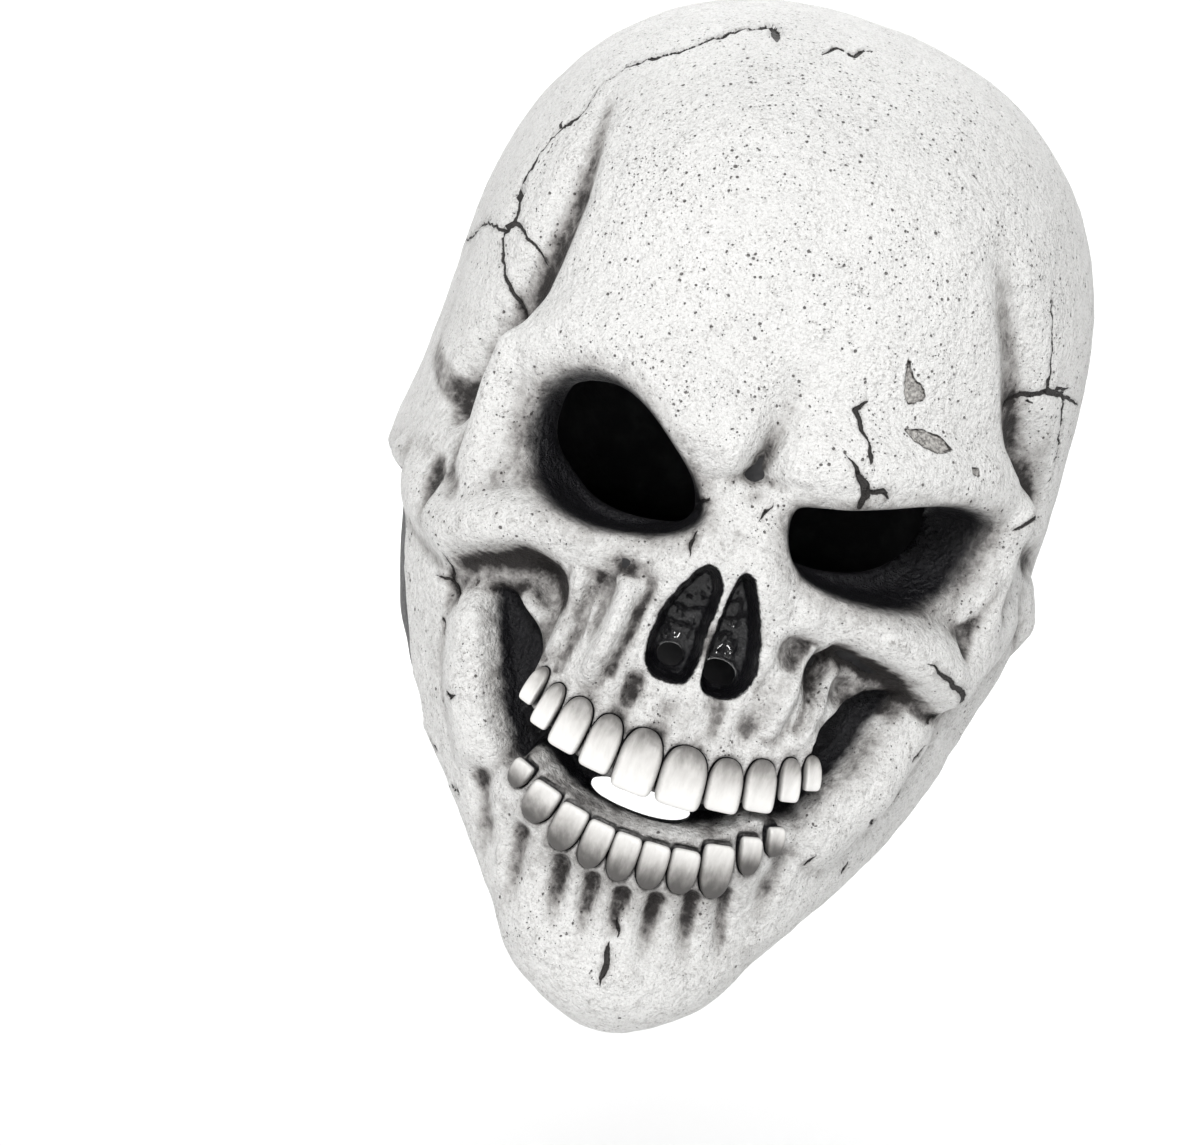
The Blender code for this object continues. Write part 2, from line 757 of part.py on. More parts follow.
def make_tooth_row(form, name, start, rows, upward):
    """Teeth side by side with a small gap, each as wide as its row says."""
    across = start
    for number, row in enumerate(rows, 1):
        width = row[1]
        narrower = (row[0], width - TOOTH_GAP / FACE_GIRTH, row[2], row[3])
        make_tooth(form, f"{name}_{number:02d}", across + width / 2, narrower, upward)
        across += width


def main():
    for thing in list(bpy.data.objects):
        bpy.data.objects.remove(thing, do_unlink=True)
    form = HeadForm(AROUND, DOME_ROWS, FACE_ROWS)
    skin = make_skin(form)
    thinning = skin.modifiers.new("fewer_faces", "DECIMATE")
    thinning.ratio = SKIN_TRIANGLES / (4 * AROUND * (DOME_ROWS + FACE_ROWS))
    outlines = {name: smooth_outline(corners, 3) for name, corners in EYE_HOLES.items()}
    outlines.update({name: squared_oval(row) for name, row in ROUND_HOLES.items()})
    for name, outline in outlines.items():
        cut = skin.modifiers.new(name, "BOOLEAN")
        cut.operation = "DIFFERENCE"
        cut.solver = "EXACT"
        cut.object = make_cutter(form, name, outline)
    make_tooth_row(form, "upper_tooth", UPPER_ROW_START, UPPER_TEETH, 1)
    make_tooth_row(form, "lower_tooth", LOWER_ROW_START, LOWER_TEETH, -1)


main()
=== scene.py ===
"""A weathered skull mask for the whole head: its skin, its teeth and their paint, made round the solids.

Metres, +Z up, the face towards -Y. The origin is the inner crown.
"""

import math

import bmesh
import bpy
import numpy as np
from mathutils import Matrix, Vector, noise


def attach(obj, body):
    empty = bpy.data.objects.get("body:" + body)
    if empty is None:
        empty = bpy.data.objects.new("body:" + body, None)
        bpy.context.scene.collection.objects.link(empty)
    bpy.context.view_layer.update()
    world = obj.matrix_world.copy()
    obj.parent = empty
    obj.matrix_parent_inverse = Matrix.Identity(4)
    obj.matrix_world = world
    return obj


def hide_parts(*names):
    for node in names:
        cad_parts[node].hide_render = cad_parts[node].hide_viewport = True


bl_info = {
    "name": "Skull Mask",
    "version": (1, 0, 0),
    "blender": (4, 5, 0),
    "location": "View3D > Sidebar > Skull Mask",
    "description": "Makes the skin, the teeth and the paint of a weathered skull mask",
    "category": "Add Mesh",
}

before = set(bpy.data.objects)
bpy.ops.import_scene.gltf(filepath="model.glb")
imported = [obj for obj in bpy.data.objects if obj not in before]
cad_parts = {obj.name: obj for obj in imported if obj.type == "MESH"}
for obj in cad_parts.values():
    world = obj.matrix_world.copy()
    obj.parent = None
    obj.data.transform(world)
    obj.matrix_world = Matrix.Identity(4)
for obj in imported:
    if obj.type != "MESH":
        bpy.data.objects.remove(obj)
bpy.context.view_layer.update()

# Shape of the crown and of the sections
CROWN_FULLNESS = 2.3
SECTION_FULLNESS = 2.3
DIP_SHARPNESS = 8
FRONT_CROWDING = 0.176  # how much closer the points lie on the face than on the nape

# The face's girth, as a share of the skull's width, and its length, as a share of the height
GIRTH_SHARE = 0.6024
LENGTH_SHARE = 0.4065

# Fineness of the skin
SKIN_COLUMNS = 200
SKIN_DOME_ROWS = 46
SKIN_FACE_ROWS = 110
LINING_COLUMNS = 110
LINING_DOME_ROWS = 24
LINING_FACE_ROWS = 64
FORM_COLUMNS = 720
FORM_ROWS = 420

MM = 0.001

# Sections from the widest place of the cranium down to the neck rim.
# side and front: how far down, as shares of the face's length. half: share of the skull's width.
# face, nape, widest: places along Y, as shares of the depth. lean: sideways, share of the face's girth.
SECTIONS = [
    # side, front, half, face, nape, widest, lean
    (0.82, 0.82, 0.481, -0.460, 0.515, 0.060, 0.000),
    (1.02, 1.02, 0.484, -0.470, 0.510, 0.040, 0.000),
    (1.17, 1.17, 0.490, -0.465, 0.500, 0.020, 0.000),
    (1.33, 1.35, 0.501, -0.475, 0.480, 0.000, 0.000),
    (1.50, 1.65, 0.476, -0.480, 0.440, -0.020, 0.000),
    (1.60, 1.83, 0.461, -0.490, 0.415, -0.030, 0.005),
    (1.68, 1.97, 0.446, -0.485, 0.395, -0.040, 0.010),
    (1.75, 2.12, 0.431, -0.475, 0.380, -0.045, 0.015),
    (1.81, 2.29, 0.410, -0.470, 0.370, -0.050, 0.025),
    (1.89, 2.41, 0.380, -0.430, 0.355, -0.060, 0.030),
    (1.92, 2.43, 0.337, -0.340, 0.330, -0.060, 0.030),
]

# Raised and sunken strokes, each a few places: across and width as shares of the face's girth
# (+ is the mask's left), down as a share of its length, rise as a share of the relief.
STROKES = {
    # across, down, width, rise
    "brow_right": [
        (-0.1, 1.0, 0.15, 0.55), (-0.22, 0.95, 0.17, 0.62), (-0.38, 0.87, 0.16, 0.55),
        (-0.54, 0.87, 0.15, 0.5), (-0.66, 0.95, 0.13, 0.5),
    ],
    "brow_left": [
        (0.09, 0.99, 0.15, 0.6), (0.22, 0.97, 0.17, 0.72), (0.4, 0.95, 0.16, 0.72),
        (0.56, 0.94, 0.15, 0.62), (0.68, 0.95, 0.13, 0.5),
    ],
    "brow_crease": [
        (0.01, 0.8, 0.05, -0.1), (0.0, 0.92, 0.06, -0.35), (-0.01, 1.02, 0.07, -0.6),
        (-0.01, 1.07, 0.09, -0.35),
    ],
    "nose_bridge": [(-0.01, 1.08, 0.14, 0.1), (-0.01, 1.2, 0.17, 0.55), (-0.01, 1.29, 0.2, 0.8)],
    "nose_side_right": [(-0.12, 1.24, 0.12, 0.35), (-0.19, 1.4, 0.13, 0.45), (-0.21, 1.54, 0.13, 0.35)],
    "nose_side_left": [(0.09, 1.24, 0.12, 0.35), (0.16, 1.38, 0.13, 0.45), (0.17, 1.52, 0.13, 0.35)],
    "cheekbone_right": [
        (-0.28, 1.33, 0.1, 0.45), (-0.45, 1.33, 0.11, 0.8), (-0.58, 1.37, 0.12, 0.9),
        (-0.7, 1.42, 0.12, 0.8), (-0.84, 1.41, 0.1, 0.45), (-1.0, 1.37, 0.1, 0.2),
    ],
    "cheekbone_left": [
        (0.24, 1.3, 0.1, 0.45), (0.4, 1.33, 0.11, 0.8), (0.52, 1.36, 0.12, 0.95),
        (0.64, 1.4, 0.12, 0.9), (0.76, 1.32, 0.11, 0.5), (0.9, 1.25, 0.1, 0.2),
    ],
    "orbit_side_right": [(-0.76, 0.98, 0.09, 0.55), (-0.72, 1.12, 0.1, 0.6), (-0.7, 1.26, 0.11, 0.6)],
    "orbit_side_left": [(0.77, 0.96, 0.09, 0.55), (0.72, 1.08, 0.1, 0.6), (0.7, 1.22, 0.11, 0.6)],
    "upper_jaw": [(-0.24, 1.66, 0.3, 0.35), (0.02, 1.68, 0.32, 0.5), (0.24, 1.62, 0.3, 0.35)],
    "lower_jaw": [(-0.26, 2.02, 0.22, 0.2), (0.0, 2.05, 0.24, 0.35), (0.26, 1.96, 0.22, 0.2)],
    "chin": [(-0.14, 2.28, 0.2, 0.35), (0.02, 2.32, 0.22, 0.6), (0.18, 2.28, 0.2, 0.35)],
    "ramus_right": [(-0.6, 1.58, 0.1, 0.35), (-0.56, 1.74, 0.1, 0.45), (-0.48, 1.88, 0.1, 0.4)],
    "ramus_left": [(0.62, 1.56, 0.1, 0.35), (0.55, 1.7, 0.1, 0.45), (0.44, 1.84, 0.1, 0.4)],
    "temple_hollow_right": [
        (-0.74, 0.38, 0.08, -0.15), (-0.73, 0.59, 0.1, -0.4), (-0.77, 0.78, 0.11, -0.55),
        (-0.82, 0.93, 0.11, -0.65), (-0.86, 1.06, 0.12, -0.8), (-0.9, 1.13, 0.11, -0.65),
    ],
    "temple_hollow_left": [
        (0.42, 0.4, 0.08, -0.15), (0.57, 0.6, 0.1, -0.4), (0.66, 0.74, 0.11, -0.55),
        (0.76, 0.86, 0.11, -0.65), (0.86, 0.96, 0.11, -0.75), (0.9, 1.03, 0.1, -0.5),
    ],
    "temple_bulge_right": [(-1.0, 0.56, 0.22, 0.15), (-1.06, 0.84, 0.22, 0.15), (-1.08, 1.04, 0.16, 0.15)],
    "temple_bulge_left": [(0.9, 0.56, 0.22, 0.15), (1.02, 0.84, 0.22, 0.15), (1.08, 1.02, 0.16, 0.15)],
    "under_cheek_right": [
        (-0.66, 1.57, 0.07, -0.25), (-0.56, 1.51, 0.07, -0.35), (-0.46, 1.46, 0.08, -0.55),
        (-0.37, 1.5, 0.08, -0.6), (-0.36, 1.6, 0.06, -0.25),
    ],
    "under_cheek_left": [
        (0.2, 1.42, 0.07, -0.35), (0.3, 1.47, 0.08, -0.55), (0.41, 1.47, 0.08, -0.55),
        (0.52, 1.49, 0.06, -0.3),
    ],
    "ear_root_right": [(-1.14, 1.36, 0.09, 0.3), (-1.18, 1.42, 0.08, 0.35)],
    "ear_root_left": [(1.06, 1.2, 0.09, 0.25), (1.1, 1.26, 0.08, 0.35)],
    "mastoid_right": [(-1.42, 1.4, 0.11, 0.15), (-1.4, 1.52, 0.09, 0.4)],
    "mastoid_left": [(1.34, 1.32, 0.11, 0.15), (1.32, 1.45, 0.09, 0.4)],
    "nape_bulge_right": [(-2.6, 1.14, 0.5, 0.3)] * 2,
    "nape_bulge_left": [(2.6, 1.14, 0.5, 0.3)] * 2,
    "root_groove_1": [(-0.44, 1.44, 0.05, -0.25), (-0.4, 1.56, 0.05, -0.3), (-0.37, 1.63, 0.04, -0.1)],
    "root_groove_2": [(-0.26, 1.42, 0.05, -0.3), (-0.28, 1.54, 0.05, -0.3), (-0.3, 1.64, 0.04, -0.1)],
    "root_groove_3": [(-0.14, 1.6, 0.05, -0.18), (-0.14, 1.68, 0.05, -0.14)],
    "root_groove_4": [(-0.04, 1.64, 0.05, -0.15), (-0.05, 1.7, 0.05, -0.12)],
    "root_groove_5": [(0.06, 1.6, 0.05, -0.15), (0.05, 1.69, 0.05, -0.12)],
    "root_groove_6": [(0.2, 1.42, 0.05, -0.3), (0.15, 1.54, 0.05, -0.25), (0.14, 1.66, 0.04, -0.1)],
    "root_groove_7": [(0.28, 1.44, 0.05, -0.35), (0.24, 1.54, 0.05, -0.3), (0.22, 1.64, 0.04, -0.1)],
    "root_groove_8": [(0.38, 1.5, 0.05, -0.35), (0.33, 1.57, 0.05, -0.25)],
}

# Finer strokes that only the surface shows.
FINE_STROKES = {
    # across, down, width, rise
    "cheek_pit_right": [
        (-0.28, 1.385, 0.045, -0.14), (-0.24, 1.355, 0.05, -0.39), (-0.2, 1.35, 0.045, -0.14),
    ],
    "strand_1": [(-0.335, 1.42, 0.03, 0.21), (-0.345, 1.5, 0.03, 0.34), (-0.345, 1.6, 0.03, 0.21)],
    "strand_2": [(-0.22, 1.4, 0.035, 0.25), (-0.215, 1.5, 0.035, 0.39), (-0.235, 1.62, 0.035, 0.25)],
    "furrow_1": [(-0.3, 1.44, 0.022, -0.21), (-0.3, 1.55, 0.022, -0.25), (-0.31, 1.64, 0.02, -0.11)],
    "furrow_2": [(-0.165, 1.37, 0.025, -0.12), (-0.175, 1.46, 0.025, -0.25), (-0.188, 1.6, 0.025, -0.18)],
    "strand_3": [(0.245, 1.42, 0.025, 0.21), (0.225, 1.52, 0.025, 0.3), (0.205, 1.62, 0.025, 0.18)],
    "strand_4": [(0.33, 1.45, 0.025, 0.25), (0.3, 1.53, 0.025, 0.3), (0.275, 1.62, 0.025, 0.18)],
    "furrow_3": [(0.297, 1.394, 0.022, -0.3), (0.28, 1.499, 0.02, -0.3), (0.262, 1.6, 0.018, -0.12)],
    "cheek_pit_left": [
        (0.33, 1.405, 0.035, -0.31), (0.375, 1.41, 0.035, -0.25), (0.46, 1.425, 0.03, -0.14),
    ],
    "smudge_pit_1": [(-0.132, 1.6, 0.035, -0.1), (-0.132, 1.65, 0.03, -0.1)],
    "smudge_pit_2": [(-0.205, 1.585, 0.03, -0.08), (-0.205, 1.63, 0.025, -0.08)],
    "smudge_pit_3": [(0.075, 1.62, 0.025, -0.08), (0.077, 1.67, 0.025, -0.06)],
    "jaw_groove_1": [
        (-0.29, 2.04, 0.045, -0.26), (-0.285, 2.13, 0.045, -0.22), (-0.27, 2.22, 0.04, -0.03),
    ],
    "jaw_groove_2": [
        (-0.172, 2.07, 0.04, -0.29), (-0.165, 2.15, 0.04, -0.24), (-0.15, 2.25, 0.04, -0.03),
    ],
    "jaw_groove_3": [
        (-0.092, 2.08, 0.036, -0.29), (-0.09, 2.16, 0.036, -0.22), (-0.085, 2.26, 0.036, -0.03),
    ],
    "jaw_groove_4": [
        (-0.016, 2.09, 0.036, -0.29), (-0.02, 2.15, 0.036, -0.19), (-0.02, 2.22, 0.036, -0.03),
    ],
    "jaw_groove_5": [
        (0.062, 2.08, 0.036, -0.29), (0.062, 2.17, 0.036, -0.21), (0.07, 2.25, 0.036, -0.03),
    ],
    "jaw_groove_6": [
        (0.14, 2.05, 0.036, -0.27), (0.15, 2.14, 0.036, -0.19), (0.16, 2.23, 0.036, -0.03),
    ],
    "jaw_groove_7": [
        (0.214, 2.02, 0.036, -0.24), (0.235, 2.11, 0.036, -0.16), (0.24, 2.19, 0.036, -0.03),
    ],
    "jaw_side_right": [
        (-0.44, 1.96, 0.05, -0.2), (-0.4, 2.06, 0.06, -0.25), (-0.37, 2.15, 0.055, -0.06),
    ],
    "jaw_side_left": [
        (0.33, 1.9, 0.05, -0.17), (0.32, 1.99, 0.055, -0.22), (0.31, 2.08, 0.05, -0.06),
    ],
    "cheek_fold_right": [
        (-0.64, 1.485, 0.035, -0.2), (-0.57, 1.455, 0.035, -0.31), (-0.47, 1.41, 0.035, -0.36),
        (-0.4, 1.43, 0.035, -0.28),
    ],
    "cheek_fold_left": [
        (0.31, 1.395, 0.03, -0.22), (0.4, 1.412, 0.032, -0.34), (0.52, 1.445, 0.032, -0.28),
        (0.62, 1.495, 0.03, -0.11),
    ],
    "crease_deep": [(0.005, 0.93, 0.03, -0.08), (-0.01, 1.01, 0.032, -0.28), (-0.02, 1.06, 0.04, -0.34)],
    "crease_arm_right": [
        (-0.02, 1.06, 0.03, -0.2), (-0.08, 1.085, 0.025, -0.14), (-0.13, 1.1, 0.022, -0.04),
    ],
    "crease_arm_left": [
        (-0.01, 1.06, 0.03, -0.2), (0.05, 1.06, 0.025, -0.14), (0.1, 1.05, 0.022, -0.04),
    ],
    "malar_groove": [
        (0.705, 1.152, 0.03, -0.1), (0.662, 1.254, 0.03, -0.16), (0.635, 1.331, 0.025, -0.08),
    ],
    "side_slit": [
        (-0.865, 1.305, 0.035, -0.1), (-0.823, 1.373, 0.04, -0.2), (-0.815, 1.443, 0.035, -0.08),
    ],
    "ear_hollow": [
        (0.93, 1.085, 0.06, -0.15), (1.02, 1.1, 0.07, -0.25), (1.1, 1.11, 0.06, -0.1),
    ],
}

# The rims of the eye sockets. The left one lies half under its brow.
SOCKETS = {
    # across, down
    "right": [
        (-0.62, 1.1), (-0.59, 1.01), (-0.51, 0.955), (-0.41, 0.94), (-0.3, 0.975), (-0.2, 1.05),
        (-0.12, 1.13), (-0.09, 1.19), (-0.13, 1.25), (-0.23, 1.29), (-0.36, 1.31), (-0.49, 1.28),
        (-0.58, 1.21),
    ],
    "left": [
        (0.085, 1.16), (0.1, 1.09), (0.19, 1.065), (0.28, 1.035), (0.42, 0.99), (0.54, 0.98), (0.64, 1.01),
        (0.64, 1.1), (0.59, 1.2), (0.48, 1.27), (0.33, 1.29), (0.2, 1.28), (0.12, 1.235),
    ],
}
SOCKET_WALL = 0.06

# The two lobes of the nose opening.
NOSE_LOBES = {
    # across, down
    "right": [
        (-0.075, 1.3), (-0.035, 1.295), (-0.006, 1.34), (-0.006, 1.45), (-0.004, 1.52), (-0.022, 1.575),
        (-0.08, 1.585), (-0.12, 1.565), (-0.138, 1.5), (-0.125, 1.4),
    ],
    "left": [
        (0.01, 1.3), (0.045, 1.285), (0.082, 1.34), (0.118, 1.43), (0.128, 1.51), (0.1, 1.57),
        (0.045, 1.588), (0.008, 1.56), (0.002, 1.45),
    ],
}
NOSE_WALL = 0.022

# The black recess that runs from one cheek, between the rows of teeth, to the other cheek.
CHEEK_RECESS = [
    # across, down
    (-0.575, 1.53), (-0.53, 1.51), (-0.46, 1.535), (-0.4, 1.58), (-0.37, 1.65), (-0.375, 1.73),
    (-0.3, 1.775), (-0.205, 1.82), (-0.11, 1.838), (0.0, 1.84), (0.1, 1.832), (0.19, 1.808),
    (0.265, 1.765), (0.32, 1.7), (0.325, 1.61), (0.4, 1.515), (0.49, 1.47), (0.555, 1.475),
    (0.51, 1.56), (0.47, 1.64), (0.4, 1.73), (0.355, 1.815), (0.29, 1.83), (0.23, 1.82),
    (0.15, 1.885), (0.03, 1.91), (-0.09, 1.922), (-0.19, 1.908), (-0.27, 1.87), (-0.32, 1.845),
    (-0.37, 1.9), (-0.42, 1.85), (-0.485, 1.74), (-0.525, 1.63),
]
RECESS_WALL = 0.03

# The black neck behind the jaw on both sides and round the nape.
NECK_FRONT = [
    # down, edge: how far round the neck begins
    (1.3, 1.06),
    (1.4, 1.05),
    (1.55, 1.0),
    (1.7, 0.91),
    (1.8, 0.84),
    (1.9, 0.76),
]
NECK_TOP_SIDE = 1.37
NECK_TOP_BACK = 1.46
NECK_WALL = 0.05
NECK_SIDE_END = 1.2
NECK_BACK_START = 2.2

# Openings that go right through the skin.
OPENINGS = {
    # across, down
    "eye_right": [
        (-0.565, 1.1), (-0.545, 1.01), (-0.45, 0.97), (-0.35, 0.98), (-0.26, 1.04), (-0.19, 1.1),
        (-0.16, 1.16), (-0.18, 1.22), (-0.26, 1.25), (-0.36, 1.26), (-0.45, 1.24), (-0.53, 1.18),
    ],
    "eye_left": [
        (0.12, 1.14), (0.16, 1.085), (0.26, 1.065), (0.38, 1.02), (0.49, 1.015), (0.53, 1.07), (0.49, 1.16),
        (0.4, 1.22), (0.29, 1.245), (0.2, 1.24), (0.14, 1.2),
    ],
}
ROUND_OPENINGS = {
    # across, down, half_width, half_height, squareness
    "nostril_right": (-0.072, 1.53, 0.032, 0.027, 2.2),
    "nostril_left": (0.058, 1.535, 0.04, 0.03, 2.2),
    "mouth": (-0.035, 1.88, 0.125, 0.032, 2.0),
}

# Cracks, their branches and their twigs. half: half width, as a share of the girth.
CRACKS = {
    # across, down, half
    "crown_seam": [
        (-0.805, 0.933, 0.0), (-0.858, 0.87, 0.005), (-0.932, 0.797, 0.005), (-0.963, 0.751, 0.008),
        (-0.97, 0.732, 0.014), (-0.94, 0.694, 0.024), (-0.952, 0.656, 0.019), (-0.969, 0.628, 0.007),
        (-0.955, 0.589, 0.005), (-0.935, 0.53, 0.001), (-0.915, 0.474, 0.004), (-0.887, 0.44, 0.011),
        (-0.844, 0.417, 0.005), (-0.818, 0.352, 0.001), (-0.825, 0.329, 0.003), (-0.746, 0.264, 0.004),
        (-0.672, 0.231, 0.009), (-0.6, 0.201, 0.008), (-0.529, 0.172, 0.005), (-0.47, 0.138, 0.008),
        (-0.414, 0.104, 0.008), (-0.365, 0.085, 0.005), (-0.299, 0.058, 0.014), (-0.278, 0.069, 0.016),
        (-0.264, 0.09, 0.0),
    ],
    "crown_short": [
        (-0.145, 0.086, 0.0), (-0.111, 0.057, 0.006), (-0.063, 0.057, 0.005), (-0.03, 0.035, 0.005),
        (-0.007, 0.035, 0.0),
    ],
    "temple_seam_left": [
        (0.64, 0.44, 0.0), (0.658, 0.488, 0.003), (0.703, 0.576, 0.004), (0.724, 0.633, 0.005),
        (0.748, 0.677, 0.009), (0.821, 0.68, 0.007), (0.996, 0.704, 0.0),
    ],
    "cheek_right": [
        (-0.76, 1.556, 0.0), (-0.694, 1.546, 0.004), (-0.656, 1.571, 0.005), (-0.64, 1.6, 0.0),
    ],
    "cheek_left": [
        (0.489, 1.363, 0.0), (0.554, 1.38, 0.005), (0.626, 1.412, 0.007), (0.683, 1.45, 0.003),
    ],
    "chin_long": [
        (-0.016, 2.21, 0.0), (-0.012, 2.236, 0.006), (-0.009, 2.28, 0.007), (-0.009, 2.306, 0.0),
    ],
    "chin_short": [(-0.012, 2.153, 0.0), (-0.004, 2.175, 0.004), (0.0, 2.197, 0.0)],
    "bridge": [(0.042, 1.1, 0.0), (0.03, 1.13, 0.003), (0.02, 1.155, 0.0)],
    "under_eye": [(-0.1, 1.135, 0.0), (-0.12, 1.17, 0.007), (-0.145, 1.212, 0.0)],
    "under_eye_low": [(-0.105, 1.225, 0.0), (-0.11, 1.26, 0.004), (-0.104, 1.291, 0.0)],
    "brow_low": [
        (0.149, 0.942, 0.0), (0.18, 0.965, 0.003), (0.205, 0.99, 0.008), (0.228, 1.015, 0.011),
        (0.232, 1.055, 0.004),
    ],
    "brow_high": [
        (0.184, 0.81, 0.001), (0.161, 0.84, 0.006), (0.18, 0.88, 0.005), (0.195, 0.905, 0.001),
        (0.21, 0.935, 0.006), (0.212, 0.955, 0.0),
    ],
    "orbit_seam_left": [
        (0.78, 0.945, 0.0), (0.74, 0.972, 0.006), (0.69, 1.01, 0.003), (0.68, 1.02, 0.0),
    ],
}
CRACK_BRANCHES = {
    # across, down, half
    "crown_side": [
        (-0.97, 0.732, 0.004), (-1.1, 0.735, 0.003), (-1.216, 0.751, 0.005), (-1.337, 0.794, 0.004),
        (-1.547, 0.833, 0.0),
    ],
    "temple_front_left": [
        (0.748, 0.677, 0.007), (0.685, 0.701, 0.007), (0.64, 0.722, 0.005), (0.619, 0.755, 0.005),
        (0.634, 0.806, 0.005), (0.655, 0.854, 0.003), (0.72, 0.9, 0.0),
    ],
    "brow_side": [(0.228, 1.01, 0.005), (0.26, 1.0, 0.006), (0.285, 1.015, 0.0)],
    "cheek_side_right": [(-0.694, 1.546, 0.003), (-0.68, 1.51, 0.003), (-0.7, 1.48, 0.0)],
}
CRACK_TWIGS = {
    # across, down, half
    "crown_front": [
        (-0.93, 0.705, 0.006), (-0.88, 0.715, 0.004), (-0.832, 0.735, 0.003), (-0.782, 0.775, 0.0),
    ],
    "temple_back_left": [
        (0.83, 0.682, 0.004), (0.856, 0.719, 0.005), (0.892, 0.768, 0.007), (0.934, 0.84, 0.007),
        (0.936, 0.901, 0.0),
    ],
    "jaw_nick_left_1": [(0.523, 1.763, 0.003), (0.558, 1.773, 0.009), (0.586, 1.79, 0.0)],
    "jaw_nick_left_2": [(0.544, 1.927, 0.003), (0.552, 1.91, 0.006), (0.553, 1.891, 0.0)],
    "jaw_nick_left_3": [(0.612, 1.614, 0.002), (0.628, 1.591, 0.006), (0.65, 1.569, 0.0)],
    "jaw_nick_left_4": [(0.641, 1.728, 0.002), (0.651, 1.709, 0.005), (0.655, 1.688, 0.0)],
    "jaw_nick_left_5": [(0.399, 1.912, 0.002), (0.404, 1.897, 0.005), (0.409, 1.876, 0.0)],
    "jaw_nick_left_6": [(0.637, 1.518, 0.005), (0.641, 1.497, 0.006), (0.67, 1.489, 0.0)],
    "jaw_nick_left_7": [(0.517, 1.855, 0.002), (0.515, 1.831, 0.005), (0.519, 1.809, 0.0)],
    "jaw_nick_right_1": [(-0.7, 1.642, 0.002), (-0.667, 1.651, 0.006), (-0.661, 1.675, 0.0)],
    "jaw_nick_right_2": [(-0.584, 1.786, 0.002), (-0.556, 1.793, 0.006), (-0.535, 1.778, 0.0)],
    "jaw_nick_right_3": [(-0.666, 1.943, 0.002), (-0.623, 1.952, 0.005), (-0.61, 1.96, 0.0)],
    "jaw_nick_right_4": [(-0.535, 2.017, 0.002), (-0.504, 2.02, 0.006), (-0.505, 2.052, 0.0)],
}

CRACK_SETS = {
    # table, seed of its swings
    "crack": (CRACKS, 1.0),
    "branch": (CRACK_BRANCHES, 41.0),
    "twig": (CRACK_TWIGS, 81.0),
}

# Flakes broken out of the surface, as outlines.
CHIPS = {
    # across, down
    "wedge": [
        (0.243, 0.683), (0.275, 0.729), (0.31, 0.745), (0.322, 0.768), (0.282, 0.794), (0.258, 0.768),
    ],
    "scoop": [
        (0.273, 0.849), (0.33, 0.84), (0.375, 0.842), (0.414, 0.866), (0.366, 0.889), (0.311, 0.872),
    ],
    "peck": [(0.47, 0.895), (0.492, 0.893), (0.496, 0.912), (0.474, 0.914)],
}

